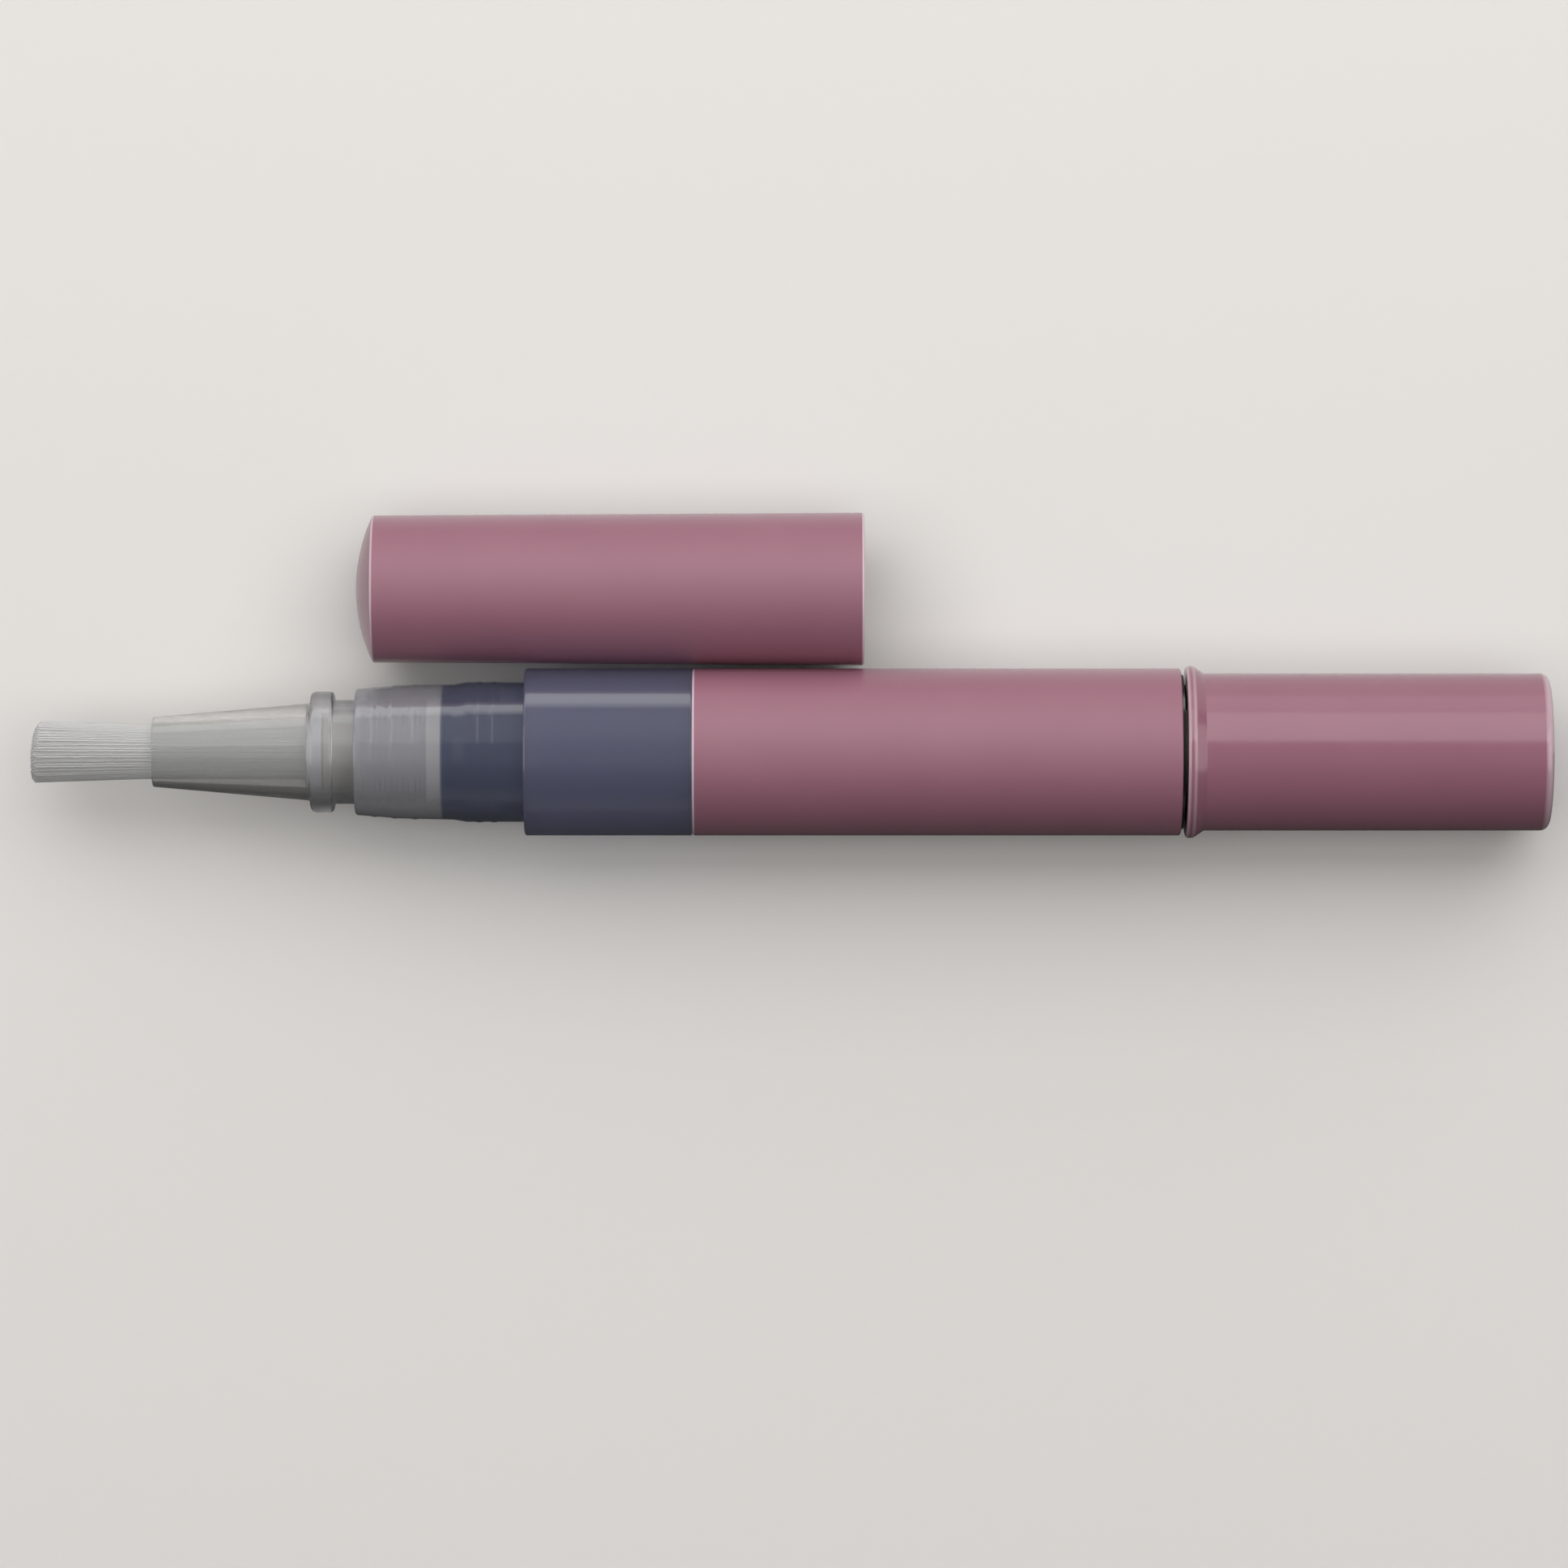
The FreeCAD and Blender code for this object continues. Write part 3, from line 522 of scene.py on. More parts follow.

# %% [markdown]
# ## The pink sleeve
# A thin tube over the back half of the barrel. Its two edges are rounded by a fraction of a
# millimetre. That tiny radius catches the light, and a pale highlight painted along the front edge,
# through its rim number, draws the light line there.

# %% Turn the sleeve
BARREL_RADIUS = 6.50
SLEEVE_WALL = 0.47
SLEEVE_FRONT_EDGE = 0.22
SLEEVE_BACK_EDGE = 0.15
sleeve_bore = BARREL_RADIUS - SLEEVE_WALL
sleeve = turn("pink_sleeve", rounded([
    (sleeve_front, sleeve_bore),
    (sleeve_front, BARREL_RADIUS, SLEEVE_FRONT_EDGE, FULL_RIM),
    (sleeve_end, BARREL_RADIUS, SLEEVE_BACK_EDGE),
    (sleeve_end, sleeve_bore),
]), pen_start, satin_pink)
hang(sleeve, "pen_body", "pink_satin", "outer_sleeve")

# %% [markdown]
# ## The twist knob
# A polished cup that the fingers turn. At its front a ring stands proud: it rises at once to its
# crest, then slopes down to the grip. The closed end is flat with a rounded rim.

# %% Turn the knob
RING_RADIUS = 6.70
RING_LENGTH = 1.45
RING_CREST = 0.60
RING_FRONT_EDGE = 0.32
# Rim numbers paint a pale highlight on the ring's two edges and on the end's rounded rim.
RING_FRONT_RIM = 0.5
RING_BACK_EDGE = 0.60
RING_BACK_RIM = 0.3
RING_FOOT = 0.12
GRIP_RADIUS = 6.12
GRIP_WALL = 0.90
END_WALL = 1.10
END_ROUNDING = 0.70
grip_front = ring_front + RING_LENGTH
knob_bore = GRIP_RADIUS - GRIP_WALL
knob = turn("pink_twist_knob", rounded([
    (ring_front, knob_bore),
    (ring_front, RING_RADIUS, RING_FRONT_EDGE, RING_FRONT_RIM),
    (ring_front + RING_CREST, RING_RADIUS, RING_BACK_EDGE, RING_BACK_RIM),
    (grip_front, GRIP_RADIUS, RING_FOOT),
    (knob_end, GRIP_RADIUS, END_ROUNDING, SOFT_RIM),
    (knob_end, 0),
    (knob_end - END_WALL, 0),
    (knob_end - END_WALL, knob_bore, END_ROUNDING),
]), pen_start, gloss_pink)
hang(knob, "twist_knob", "pink_gloss", "twist_knob")

# %% [markdown]
# ## The cap
# A long cup that narrows a little towards its crown, which is a shallow dome with a crisp rim. The
# dome is part of a sphere, so its points come from the circle's formula. Inside it, a pale liner
# seals on the nozzle's bead.

# %% Turn the cap
CROWN_RADIUS = 5.73
CROWN_WALL = 0.60
DOME_HEIGHT = 1.30
DOME_STEPS = 18
RIM_ROUNDING = 0.25
# Rim numbers paint a pale highlight on the crown's rim and on the mouth's lip.
CROWN_RIM = 0.7
MOUTH_RADIUS = 5.95
MOUTH_BORE = 5.50
MOUTH_LAND = 4.0
LIP_ROUNDING = 0.20


def dome(apex, rim):
    """Points of the dome from its apex on the axis to just short of its rim."""
    sphere = (rim ** 2 + DOME_HEIGHT ** 2) / (2 * DOME_HEIGHT)
    radii = [rim * k / DOME_STEPS for k in range(DOME_STEPS)]
    return [(apex + sphere - math.sqrt(sphere ** 2 - radius ** 2), radius) for radius in radii]


crown_bore = CROWN_RADIUS - CROWN_WALL
cap = turn("pink_cap", rounded([
    *dome(0, CROWN_RADIUS),
    (DOME_HEIGHT, CROWN_RADIUS, RIM_ROUNDING, CROWN_RIM),
    (cap_end, MOUTH_RADIUS, LIP_ROUNDING, FULL_RIM),
    (cap_end, MOUTH_BORE, LIP_ROUNDING),
    (cap_end - MOUTH_LAND, MOUTH_BORE),
    (CROWN_WALL + DOME_HEIGHT, crown_bore),
    *reversed(dome(CROWN_WALL, crown_bore)),
]), cap_start, satin_pink)
hang(cap, "cap", "pink_satin", "cap_shell")

# %% Turn the cap's liner
LINER_RADIUS = 5.11
LINER_BORE = 4.76
LINER_EDGE = 0.12
LINER_BEAD_SETBACK = 2.05
LINER_BEAD_HALF = 0.40
LINER_BEAD_HEIGHT = 0.06
LINER_BEAD_ROUNDING = 0.30
liner_front, liner_end = reach("cap_liner", cap_start)
liner_bead = liner_end - LINER_BEAD_SETBACK
liner = turn("cap_inner_liner", rounded([
    (liner_front, LINER_BORE),
    (liner_front, LINER_RADIUS),
    (liner_end, LINER_RADIUS, LINER_EDGE),
    (liner_end, LINER_BORE, LINER_EDGE),
    (liner_bead + LINER_BEAD_HALF, LINER_BORE),
    (liner_bead, LINER_BORE - LINER_BEAD_HEIGHT, LINER_BEAD_ROUNDING),
    (liner_bead - LINER_BEAD_HALF, LINER_BORE),
]), cap_start, natural_pe)
hang(liner, "cap", "natural_plastic", "cap_liner")

# %% [markdown]
# ## The oil barrel
# One smoky moulding: a stepped neck with fine ribs at its front and two snap rings that the cap
# grips, a square shoulder, the window, and a thinner back half under the sleeve. Each rib breaks
# the lamp's reflection into an upright glint. The bore narrows in a cone behind the neck. Because
# both faces of the wall are modelled, the plastic bends light as the real tube does.

# %% Draw the neck with its ribs and rings
NECK_BORE = 4.06
NECK_FRONT = 4.90
NECK_WAIST = 5.18
NECK_RAMP = 5.27
NECK_LAND = 5.44
NECK_EDGE = 0.25
NECK_FRONT_LENGTH = 3.53
LAND_LENGTH = 4.53
RAMP_LENGTH = 1.0
RIBS = 3
RIB_SETBACK = 1.45
RIB_PITCH = 1.58
RIB_HEIGHT = 0.06
RIB_WIDTH = 0.30
SNAP_RINGS = 2
SNAP_SETBACK = 1.00
SNAP_PITCH = 1.14
SNAP_HEIGHT = 0.05
SNAP_WIDTH = 0.35
RIDGE_ROUNDING = 0.7


def ridge(centre, half_width, height, base):
    """Corners of a fine rounded ridge about the axis. Base gives the radius that it stands on."""
    return [
        (centre - half_width, base(centre - half_width)),
        (centre, base(centre) + height, RIDGE_ROUNDING, FULL_RIM),
        (centre + half_width, base(centre + half_width)),
    ]


def neck_radius(x):
    """Radius of the bare neck, which runs straight from corner to corner."""
    for (x0, radius0), (x1, radius1) in zip(neck_line, neck_line[1:]):
        if x0 <= x <= x1:
            return radius0 + (radius1 - radius0) * (x - x0) / (x1 - x0)


land = shoulder - LAND_LENGTH
neck_line = [
    (neck_front, NECK_FRONT),
    (neck_front + NECK_FRONT_LENGTH, NECK_WAIST),
    (land - RAMP_LENGTH, NECK_RAMP),
    (land, NECK_LAND),
    (shoulder, NECK_LAND),
]
ridges = []
for i in range(RIBS):
    ridges += ridge(neck_front + RIB_SETBACK + RIB_PITCH * i, RIB_WIDTH, RIB_HEIGHT, neck_radius)
for i in range(SNAP_RINGS):
    ridges += ridge(land + SNAP_SETBACK + SNAP_PITCH * i, SNAP_WIDTH, SNAP_HEIGHT, neck_radius)
neck_outline = [(neck_front, NECK_FRONT, NECK_EDGE)] + sorted(neck_line[1:] + ridges)
print("neck outline has", len(neck_outline), "corners")

# %% Turn the barrel
SHOULDER_EDGE = 0.20
WINDOW_EDGE = 0.08
CHAMBER_RADIUS = 5.20
THROAT_LENGTH = 3.30
THROAT_OVERLAP = 1.40
PRESS_GAP = 0.02
throat_end = shoulder + THROAT_OVERLAP
barrel = turn("frosted_barrel", rounded([
    (neck_front, NECK_BORE),
    *neck_outline,
    (shoulder, BARREL_RADIUS, SHOULDER_EDGE, SOFT_RIM),
    (sleeve_front - SEAT_GAP, BARREL_RADIUS, WINDOW_EDGE, SOFT_RIM),
    (sleeve_front - SEAT_GAP, sleeve_bore - PRESS_GAP),
    (barrel_end, sleeve_bore - PRESS_GAP),
    (barrel_end, CHAMBER_RADIUS),
    (throat_end, CHAMBER_RADIUS),
    (throat_end - THROAT_LENGTH, NECK_BORE),
]), pen_start, smoky_pp)
hang(barrel, "pen_body", "frosted_plastic", "barrel")

# %% [markdown]
# ## The nozzle and its plug
# A clear cone with a rounded bead that the cap seals on, and a shank with grooves that plugs into
# the neck. The grooves show through the barrel as fine upright lines. A white plug fills the shank
# and ends in a flange, the pale band inside the neck.

# %% Turn the nozzle
SHANK_RADIUS = 4.04
SHANK_BORE = 3.12
BEAD_RADIUS = 4.70
BEAD_LENGTH = 1.83
BEAD_ROUNDING = 0.75
ROOT_RADIUS = 3.785
ROOT_BORE = 2.785
ROOT_ROUNDING = 0.30
NOZZLE_MOUTH = 2.715
NOZZLE_MOUTH_BORE = 2.30
MOUTH_EDGE = 0.15
MOUTH_BORE_EDGE = 0.10
GROOVES = 6
GROOVE_DEPTH = 0.25
GROOVE_WIDTH = 0.42
GROOVE_ROUNDING = 0.16
GROOVE_EDGE_SHARE = 0.4

shank_front = bead_front + BEAD_LENGTH
groove_pitch = (shank_end - neck_front) / (GROOVES + GROOVE_EDGE_SHARE)
nozzle_outline = [
    (nozzle_front, NOZZLE_MOUTH_BORE, MOUTH_BORE_EDGE),
    (nozzle_front, NOZZLE_MOUTH, MOUTH_EDGE, FULL_RIM),
    (bead_front, ROOT_RADIUS, ROOT_ROUNDING),
    (bead_front, BEAD_RADIUS, BEAD_ROUNDING),
    (shank_front, BEAD_RADIUS, BEAD_ROUNDING),
    (shank_front, SHANK_RADIUS),
]
for i in range(GROOVES):
    groove = neck_front + groove_pitch * (i + GROOVE_EDGE_SHARE)
    nozzle_outline += [
        (groove, SHANK_RADIUS, GROOVE_ROUNDING, FULL_RIM),
        (groove, SHANK_RADIUS - GROOVE_DEPTH, GROOVE_ROUNDING),
        (groove + GROOVE_WIDTH, SHANK_RADIUS - GROOVE_DEPTH, GROOVE_ROUNDING),
        (groove + GROOVE_WIDTH, SHANK_RADIUS, GROOVE_ROUNDING, FULL_RIM),
    ]
nozzle = turn("clear_nozzle", rounded(nozzle_outline + [
    (shank_end, SHANK_RADIUS),
    (shank_end, SHANK_BORE),
    (bead_front, SHANK_BORE),
    (bead_front, ROOT_BORE),
]), pen_start, clear_pp)
hang(nozzle, "pen_body", "clear_plastic", "nozzle")

# %% Turn the plug
TUBE_HOLE = 0.62
PLUG_EDGE = 0.15
FLANGE_FRONT_EDGE = 0.08
FLANGE_BACK_EDGE = 0.12
plug = turn("white_brush_plug", rounded([
    (plug_front, TUBE_HOLE),
    (plug_front, SHANK_BORE - PRESS_GAP, PLUG_EDGE),
    (shank_end + SEAT_GAP, SHANK_BORE - PRESS_GAP),
    (shank_end + SEAT_GAP, SHANK_RADIUS, FLANGE_FRONT_EDGE),
    (plug_end, SHANK_RADIUS, FLANGE_BACK_EDGE),
    (plug_end, TUBE_HOLE),
]), pen_start, white_pp)
hang(plug, "pen_body", "white_plastic", "brush_holder")

# %% [markdown]
# ## The piston
# It stands under the sleeve in the photographed state, and comes into the window as the knob is
# twisted, so it needs its real shape too: two lips that wipe the bore, a groove with a rubber ring,
# and a socket for the screw.

# %% Turn the piston and its ring
LIP_RADIUS = 5.15
LIP_LENGTH = 0.90
LIP_OUTER_EDGE = 0.25
LIP_INNER_EDGE = 0.08
WAIST_RADIUS = 4.70
RING_SECTION = 0.60
RING_CENTRE = 4.55
RING_STEPS = 24
RING_SIDE_GAP = 0.05
SOCKET_ENTRY = 1.28
SOCKET_POCKET = 1.87
SOCKET_LIP = 1.60
SOCKET_LENGTH = 1.46
piston_front, piston_end = reach("piston", pen_start)
piston_middle = (piston_front + piston_end) / 2
groove_floor = RING_CENTRE - RING_SECTION - PRESS_GAP
groove_half = RING_SECTION + RING_SIDE_GAP
socket_end = piston_end - SOCKET_LIP
piston = turn("oil_piston", rounded([
    (piston_front, 0),
    (piston_front, LIP_RADIUS, LIP_OUTER_EDGE),
    (piston_front + LIP_LENGTH, LIP_RADIUS, LIP_INNER_EDGE),
    (piston_front + LIP_LENGTH, WAIST_RADIUS),
    (piston_middle - groove_half, WAIST_RADIUS),
    (piston_middle - groove_half, groove_floor),
    (piston_middle + groove_half, groove_floor),
    (piston_middle + groove_half, WAIST_RADIUS),
    (piston_end - LIP_LENGTH, WAIST_RADIUS),
    (piston_end - LIP_LENGTH, LIP_RADIUS, LIP_INNER_EDGE),
    (piston_end, LIP_RADIUS, LIP_OUTER_EDGE),
    (piston_end, SOCKET_ENTRY),
    (socket_end, SOCKET_ENTRY),
    (socket_end, SOCKET_POCKET),
    (socket_end - SOCKET_LENGTH, SOCKET_POCKET),
    (socket_end - SOCKET_LENGTH, 0),
]), pen_start, natural_pe)
hang(piston, "piston", "natural_plastic", "piston")

seal_turn = [math.tau * k / RING_STEPS for k in range(RING_STEPS)]
seal = turn("piston_ring", [
    (piston_middle + RING_SECTION * math.cos(a), RING_CENTRE + RING_SECTION * math.sin(a), 0)
    for a in seal_turn
], pen_start, rubber)
hang(seal, "piston", "seal_rubber", "piston_seal")

# %% [markdown]
# ## The brush
# About two thousand nylon filaments, melted together at the root. Hair particles would look right
# but leave no mesh, so Geometry Nodes grows them: points on a sunflower spiral fill the bundle
# evenly, each carries one thin five-sided filament, and the free ends flare, lean together in small
# clumps and are cut a little slanted. Real filaments are about 0.08 mm thick; these are drawn a
# little thicker so that they show. They leave room for the feed tube in the middle, and close over
# its end.

# %% Name the brush's sizes
brush_tree = new_tree("Brush filaments", {
    "Filaments": "NodeSocketInt",
    "Root": "NodeSocketVector",
    "Length": "NodeSocketFloat",
    "Free length": "NodeSocketFloat",
    "Bundle radius": "NodeSocketFloat",
    "Hollow radius": "NodeSocketFloat",
    "Hollow depth": "NodeSocketFloat",
    "Filament radius": "NodeSocketFloat",
    "Flare": "NodeSocketFloat",
    "Stray": "NodeSocketFloat",
    "Clump scale": "NodeSocketFloat",
    "Rim setback": "NodeSocketFloat",
    "Slant": "NodeSocketFloat",
    "Uneven": "NodeSocketFloat",
    "Seed": "NodeSocketInt",
    "Finish": "NodeSocketMaterial",
})
entry = add(brush_tree, "NodeGroupInput").outputs
wires = {socket.name: socket for socket in entry if socket.name}
wires["index"] = add(brush_tree, "GeometryNodeInputIndex").outputs[0]
for name, kind in {
    "aim": "FLOAT_VECTOR", "rank": "FLOAT", "closing": "FLOAT", "uneven": "FLOAT",
}.items():
    stored = add(brush_tree, "GeometryNodeInputNamedAttribute", {"Name": name}, data_type=kind)
    wires["stored " + name] = stored.outputs[0]
here = add(brush_tree, "GeometryNodeInputPosition").outputs[0]
wires["x"] = add(brush_tree, "ShaderNodeSeparateXYZ", {0: here}).outputs["X"]
wires["side"] = add(brush_tree, "ShaderNodeSeparateXYZ", {0: wires["stored aim"]}).outputs["Y"]
print("brush tree starts from", ", ".join(wires))

# %% [markdown]
# The sums of the brush are written as a list. Each row is one Math node: its name, what it does,
# and what it takes, which is an input of the tree, an earlier row or a number. The first rows place
# a filament's root: its rank runs from 0 in the middle to 1 at the rim. The later rows move the
# points of each filament, which remember their root's rank, by how far they stand out of the
# nozzle.

# %% Work out where each filament stands and how it bends
GOLDEN_TURN = math.pi * (3 - math.sqrt(5))
SUMS = [
    ("next", "ADD", "index", 0.5),
    ("rank", "DIVIDE", "next", "Filaments"),
    ("angle", "MULTIPLY", "index", GOLDEN_TURN),
    ("sine", "SINE", "angle"),
    ("cosine", "COSINE", "angle"),
    ("hollow area", "POWER", "Hollow radius", 2.0),
    ("full area", "POWER", "Bundle radius", 2.0),
    ("ring area", "SUBTRACT", "full area", "hollow area"),
    ("area inside", "MULTIPLY_ADD", "ring area", "rank", "hollow area"),
    ("root radius", "SQRT", "area inside"),
    ("rank root", "SQRT", "rank"),
    ("tip radius", "MULTIPLY", "Bundle radius", "rank root"),
    ("closing", "SUBTRACT", "tip radius", "root radius"),
    ("tip x", "MULTIPLY", "Length", -1.0),
    ("forward", "MULTIPLY", "x", -1.0),
    ("buried", "SUBTRACT", "Length", "Free length"),
    ("past mouth", "SUBTRACT", "forward", "buried"),
    ("free ratio", "DIVIDE", "past mouth", "Free length"),
    ("free share", "MAXIMUM", "free ratio", 0.0),
    ("tube end", "SUBTRACT", "Length", "Hollow depth"),
    ("past tube", "SUBTRACT", "forward", "tube end"),
    ("closing ratio", "DIVIDE", "past tube", "Hollow depth"),
    ("closing share", "MAXIMUM", "closing ratio", 0.0),
    ("stored root", "SQRT", "stored rank"),
    ("flare here", "MULTIPLY", "Flare", "free share"),
    ("flare out", "MULTIPLY", "flare here", "stored root"),
    ("outward", "MULTIPLY_ADD", "stored closing", "closing share", "flare out"),
    ("free square", "POWER", "free share", 2.0),
    ("sway size", "MULTIPLY", "Stray", "free square"),
    ("slant side", "MULTIPLY", "Slant", "side"),
    ("slanted", "MULTIPLY", "slant side", "stored root"),
    ("rank cube", "POWER", "stored rank", 3.0),
    ("rim cut", "MULTIPLY_ADD", "Rim setback", "rank cube", "slanted"),
    ("even cut", "MAXIMUM", "rim cut", 0.0),
    ("cut", "ADD", "even cut", "stored uneven"),
    ("shorter", "MULTIPLY", "cut", "free share"),
]
for name, operation, *takes in SUMS:
    values = {i: wires.get(take, take) for i, take in enumerate(takes)}
    wires[name] = add(brush_tree, "ShaderNodeMath", values, operation=operation).outputs[0]
print(len(SUMS), "sums for each filament")

# %% Plant the filaments
FILAMENT_SIDES = 5
FILAMENT_POINTS = 6

aim = add(brush_tree, "ShaderNodeCombineXYZ", {1: wires["sine"], 2: wires["cosine"]}).outputs[0]
root_place = add(brush_tree, "ShaderNodeVectorMath", {
    0: aim, "Scale": wires["root radius"],
}, operation="SCALE")
planted = add(brush_tree, "GeometryNodePoints", {
    "Count": wires["Filaments"], "Position": root_place.outputs[0],
}).outputs[0]
uneven = add(brush_tree, "FunctionNodeRandomValue", {
    "Max": wires["Uneven"], "Seed": wires["Seed"],
}, data_type="FLOAT")
for name, kind, value in (
    ("aim", "FLOAT_VECTOR", aim),
    ("closing", "FLOAT", wires["closing"]),
    ("rank", "FLOAT", wires["rank"]),
    ("uneven", "FLOAT", uneven.outputs[1]),
):
    planted = add(brush_tree, "GeometryNodeStoreNamedAttribute", {
        "Geometry": planted, "Name": name, "Value": value,
    }, data_type=kind, domain="POINT").outputs[0]
tip_end = add(brush_tree, "ShaderNodeCombineXYZ", {0: wires["tip x"]})
line = add(brush_tree, "GeometryNodeCurvePrimitiveLine", {"End": tip_end.outputs[0]})
bent = add(brush_tree, "GeometryNodeResampleCurve", {
    "Curve": line.outputs[0], "Count": FILAMENT_POINTS,
})
section = add(brush_tree, "GeometryNodeCurvePrimitiveCircle", {
    "Resolution": FILAMENT_SIDES, "Radius": wires["Filament radius"],
})
filament = add(brush_tree, "GeometryNodeCurveToMesh", {
    "Curve": bent.outputs[0], "Profile Curve": section.outputs[0], "Fill Caps": True,
})
standing = add(brush_tree, "GeometryNodeInstanceOnPoints", {
    "Points": planted, "Instance": filament.outputs[0],
})
real = add(brush_tree, "GeometryNodeRealizeInstances", {"Geometry": standing.outputs[0]})
print("each filament has", FILAMENT_SIDES, "sides and", FILAMENT_POINTS, "points")

# %% Bend and trim the filaments
lean = add(brush_tree, "ShaderNodeVectorMath", {
    0: wires["stored aim"], "Scale": wires["outward"],
}, operation="SCALE").outputs[0]
spread = add(brush_tree, "ShaderNodeVectorMath", {
    0: wires["stored aim"], "Scale": wires["stored rank"],
}, operation="SCALE").outputs[0]
clump = add(brush_tree, "ShaderNodeTexNoise", {
    "Vector": spread, "Scale": wires["Clump scale"], "Detail": 2.0,
}).outputs[1]
swing = add(brush_tree, "ShaderNodeVectorMath", {
    0: clump, 1: (0.5, 0.5, 0.5),
}, operation="SUBTRACT").outputs[0]
sway = add(brush_tree, "ShaderNodeVectorMath", {
    0: swing, "Scale": wires["sway size"],
}, operation="SCALE").outputs[0]
shift = add(brush_tree, "ShaderNodeVectorMath", {0: lean, 1: sway}, operation="ADD").outputs[0]
level = add(brush_tree, "ShaderNodeVectorMath", {
    0: shift, 1: (0.0, 1.0, 1.0),
}, operation="MULTIPLY").outputs[0]
shorter = add(brush_tree, "ShaderNodeCombineXYZ", {0: wires["shorter"]}).outputs[0]
trimmed = add(brush_tree, "ShaderNodeVectorMath", {
    0: level, 1: shorter,
}, operation="ADD").outputs[0]
stood = add(brush_tree, "ShaderNodeVectorMath", {
    0: trimmed, 1: wires["Root"],
}, operation="ADD").outputs[0]
bundle = add(brush_tree, "GeometryNodeSetPosition", {"Geometry": real.outputs[0], "Offset": stood})
finished = add(brush_tree, "GeometryNodeSetMaterial", {
    "Geometry": bundle.outputs[0], "Material": wires["Finish"],
})
add(brush_tree, "NodeGroupOutput", {"Piece": finished.outputs[0]})
print("brush tree has", len(brush_tree.nodes), "nodes")

# %% Grow the brush and its melted root
FILAMENTS = 1900
FILAMENT_RADIUS = 0.050
BRUSH_MOUTH = 2.12
BRUSH_FLARE = 0.30
BUTT_LENGTH = 1.0
BUTT_EDGE = 0.12
FEED_TUBE_SETBACK = 4.0
butt_front = bead_front + SEAT_GAP
root = pen_start + Vector((butt_front * MM, 0, 0))
bristles = grow("brush_filaments", brush_tree, {
    "Filaments": FILAMENTS,
    "Root": root,
    "Length": butt_front * MM,
    "Free length": nozzle_front * MM,
    "Bundle radius": (BRUSH_MOUTH - FILAMENT_RADIUS) * MM,
    "Hollow radius": (TUBE_HOLE + FILAMENT_RADIUS) * MM,
    "Hollow depth": FEED_TUBE_SETBACK * MM,
    "Filament radius": FILAMENT_RADIUS * MM,
    "Flare": BRUSH_FLARE * MM,
    "Stray": 0.24 * MM,
    "Clump scale": 5.0,
    "Rim setback": 0.50 * MM,
    "Slant": 0.22 * MM,
    "Uneven": 0.16 * MM,
    "Seed": 7,
    "Finish": nylon,
})
smooth(bristles.data)
hang(bristles, "pen_body", "nylon_bristle", "brush_bristles")

butt = turn("brush_root", rounded([
    (butt_front, TUBE_HOLE),
    (butt_front, SHANK_BORE - PRESS_GAP, BUTT_EDGE),
    (butt_front + BUTT_LENGTH, SHANK_BORE - PRESS_GAP, BUTT_EDGE),
    (butt_front + BUTT_LENGTH, TUBE_HOLE),
]), pen_start, nylon)
hang(butt, "pen_body", "nylon_bristle")

# %% [markdown]
# ## The works inside
# The screw, nut, ratchet and drive are hidden by the sleeve and the knob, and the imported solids
# have their right shape, so they stay as they are and only get a moulded finish in place of a flat
# colour.

# %% Dress the solids that stay
for node, finish in {
    "feed_tube": natural_pe,
    "lead_screw": white_pp,
    "feed_nut": white_pp,
    "ratchet_ring": white_pp,
    "pawl_ring": natural_pe,
    "drive_sleeve": white_pp,
    "retaining_collar": white_pp,
    "knob_core": white_pp,
}.items():
    for material_slot in frame["nodes"][node].material_slots:
        material_slot.material = finish
    print(node, "has", finish.name)

# %% [markdown]
# ## Floor, light and camera
# A plain pale floor. It looks pale to the eye and through clear plastic, but sends little light
# back on the pen, and its near half stays dark in gloss as if a black card lay there. Both keep
# the pen's lower side dark. To do that its shader asks how often the light has already bounced
# off something. The world around is pale to the eye alone.

# %% Lay the floor
FLOOR = "#E0DDD9"
FLOOR_BOUNCE = "#504F4D"
FLOOR_SIZE = 4.0
PAPER_ROUGHNESS = 0.9
paper, tree, shader, _ = new_finish("pale_matt_paper")
path = add(tree, "ShaderNodeLightPath").outputs
spot = add(tree, "ShaderNodeNewGeometry").outputs["Position"]
depth = add(tree, "ShaderNodeSeparateXYZ", {0: spot}).outputs["Y"]
near = add(tree, "ShaderNodeMath", {0: depth, 1: pen_start.y}, operation="LESS_THAN")
carded = add(tree, "ShaderNodeMath", {
    0: path["Glossy Depth"], 1: near.outputs[0],
}, operation="MULTIPLY")
bounces = add(tree, "ShaderNodeMath", {
    0: path["Diffuse Depth"], 1: carded.outputs[0],
}, operation="ADD")
fresh = add(tree, "ShaderNodeMath", {0: bounces.outputs[0], 1: 0.5}, operation="LESS_THAN")
tone = add(tree, "ShaderNodeMix", {
    "Factor": fresh.outputs[0], 6: colour(FLOOR_BOUNCE), 7: colour(FLOOR),
}, data_type="RGBA")
tree.links.new(tone.outputs[2], shader.inputs["Base Color"])
shader.inputs["Roughness"].default_value = PAPER_ROUGHNESS
half = FLOOR_SIZE / 2
floor_mesh = bpy.data.meshes.new("pale_floor")
floor_mesh.from_pydata(
    [(-half, -half, 0), (half, -half, 0), (half, half, 0), (-half, half, 0)], [], [(0, 1, 2, 3)]
)
floor_mesh.materials.append(paper)
floor = bpy.data.objects.new("pale_floor", floor_mesh)
bpy.context.scene.collection.objects.link(floor)
print("floor", FLOOR_SIZE, "m wide")

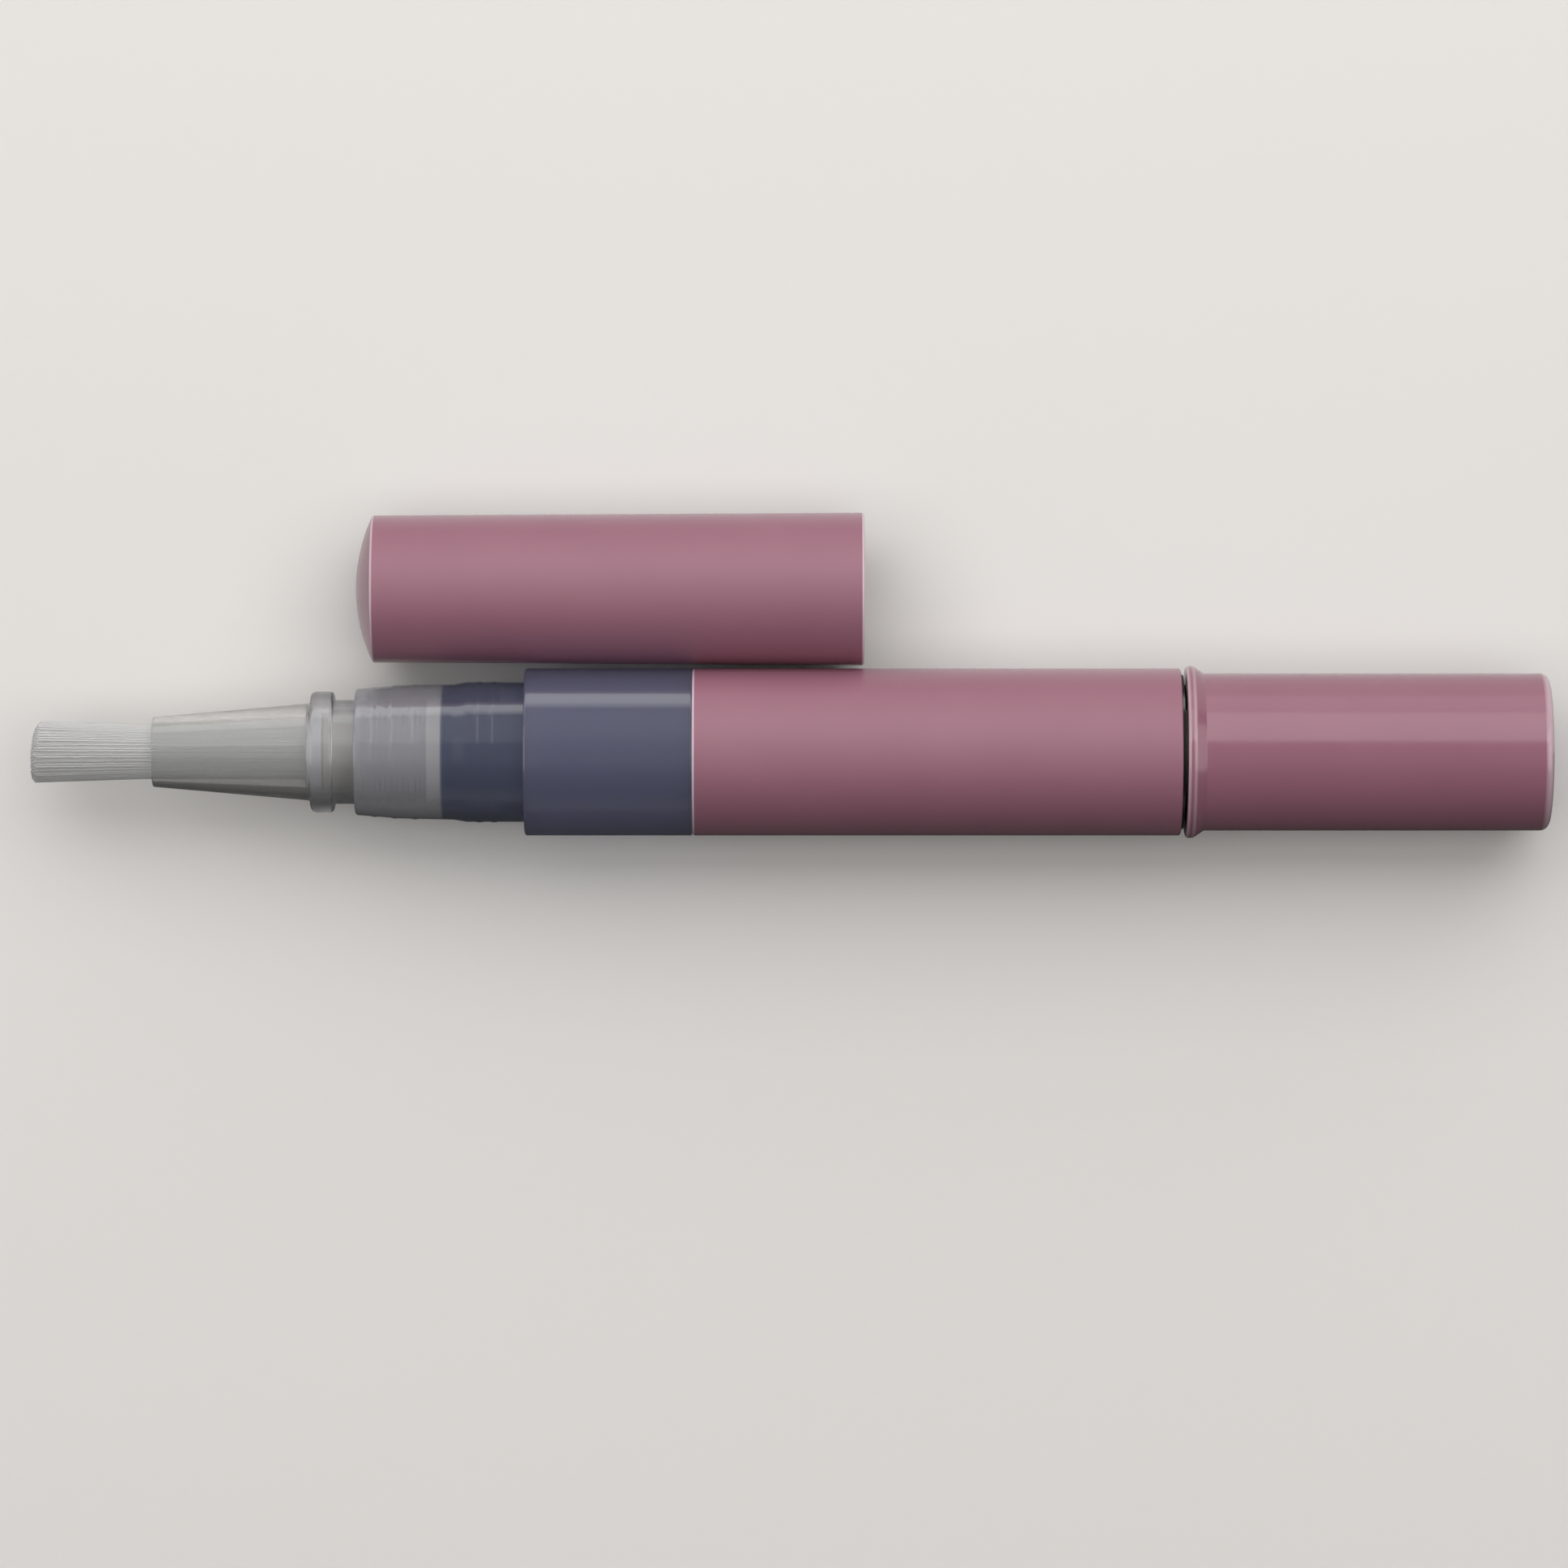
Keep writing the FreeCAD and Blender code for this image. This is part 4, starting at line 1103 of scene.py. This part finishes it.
# %% [markdown]
# The light comes from three soft boxes: one overhead that does not show in gloss, a brighter strip
# beyond the pen, and a low wall of light that stands on the floor behind it. The strip's place
# follows from the knob: its reflection lies between 7 and 30 degrees from the top of the round
# grip, so the strip reaches from 14 to 60 degrees from straight above. No lamp stands low on the
# near side, so that side goes dark. Two panels beyond the pen's ends show only in gloss, on rims,
# lips and the ring. A lamp's glow is how bright it looks, where 1 is white paper.

# %% Hang the lamps


def soft_box(name, place, length, width, glow, lights_matt=True, shows_in_gloss=True):
    """A lamp that looks at the middle of the pen, its length level. The camera does not see it."""
    lamp = bpy.data.lights.new(name, "AREA")
    lamp.shape = "RECTANGLE"
    lamp.size = length
    lamp.size_y = width
    lamp.energy = glow * math.pi * length * width
    stand = bpy.data.objects.new(name, lamp)
    stand.location = place
    stand.rotation_euler = (-Vector(place)).to_track_quat("-Z", "Y").to_euler()
    stand.visible_camera = False
    stand.visible_diffuse = lights_matt
    stand.visible_glossy = shows_in_gloss
    bpy.context.scene.collection.objects.link(stand)
    print(f"{name} of {lamp.energy:.2f} W")


def beyond(tilt, distance):
    """A place this far from the pen's middle, tilted from straight above towards the cap's side."""
    return 0, distance * math.sin(math.radians(tilt)), distance * math.cos(math.radians(tilt))


soft_box("strip_soft_box", beyond(37, 0.5), length=1.0, width=0.42, glow=2.0)
soft_box(
    "overhead_soft_box", beyond(-5, 0.9), length=1.8, width=0.55, glow=1.3, shows_in_gloss=False
)
soft_box("low_back_wall", beyond(76, 1.0), length=2.4, width=0.48, glow=1.2)
PANEL_OUT = 0.50
PANEL_BACK = 0.03
PANEL_HEIGHT = 0.38
for name, side in {"left_panel": -1, "right_panel": 1}.items():
    place = (side * PANEL_OUT, PANEL_BACK, PANEL_HEIGHT)
    soft_box(name, place, length=0.50, width=0.75, glow=1.6, lights_matt=False)

# %% Fill the studio with even light
WORLD_FILL = 0.12
WORLD_PALE = 0.55
world = bpy.data.worlds.new("even_studio")
world.use_nodes = True
background = world.node_tree.nodes["Background"]
eye = add(world.node_tree, "ShaderNodeLightPath").outputs["Is Camera Ray"]
level = add(world.node_tree, "ShaderNodeMapRange", {0: eye, 3: WORLD_FILL, 4: WORLD_PALE})
world.node_tree.links.new(level.outputs[0], background.inputs["Strength"])
background.inputs["Color"].default_value = colour("#FFFFFF")
bpy.context.scene.world = world
bpy.context.scene.view_settings.view_transform = "Standard"
print("world fill", WORLD_FILL)

# %% [markdown]
# The photograph was taken from straight above. Three of its pixels place the camera: the brush tip,
# the knob's end and the pen's axis. The slight swelling towards the camera of the cap's rim and the
# knob's end gives its height.

# %% Set the camera
PHOTO_SIDE = 1932
TIP_PIXEL = 39
END_PIXEL = 1908
AXIS_PIXEL = 926.5
CAMERA_HEIGHT = 0.690
SENSOR = 36.0
pixel = knob_end * MM / (END_PIXEL - TIP_PIXEL)
camera = bpy.data.cameras.new("overhead_camera")
camera.sensor_width = SENSOR
camera.lens = SENSOR * CAMERA_HEIGHT / (PHOTO_SIDE * pixel)
camera_object = bpy.data.objects.new("overhead_camera", camera)
camera_object.location = (
    pen_start.x + (PHOTO_SIDE / 2 - TIP_PIXEL) * pixel,
    pen_start.y - (PHOTO_SIDE / 2 - AXIS_PIXEL) * pixel,
    pen_start.z + CAMERA_HEIGHT,
)
bpy.context.scene.collection.objects.link(camera_object)
bpy.context.scene.camera = camera_object
print(f"one pixel is {pixel / MM:.4f} mm, lens {camera.lens:.1f} mm")

# %% [markdown]
# ## Last update
# The view layer is updated once more.

# %% Update the view layer
bpy.context.view_layer.update()
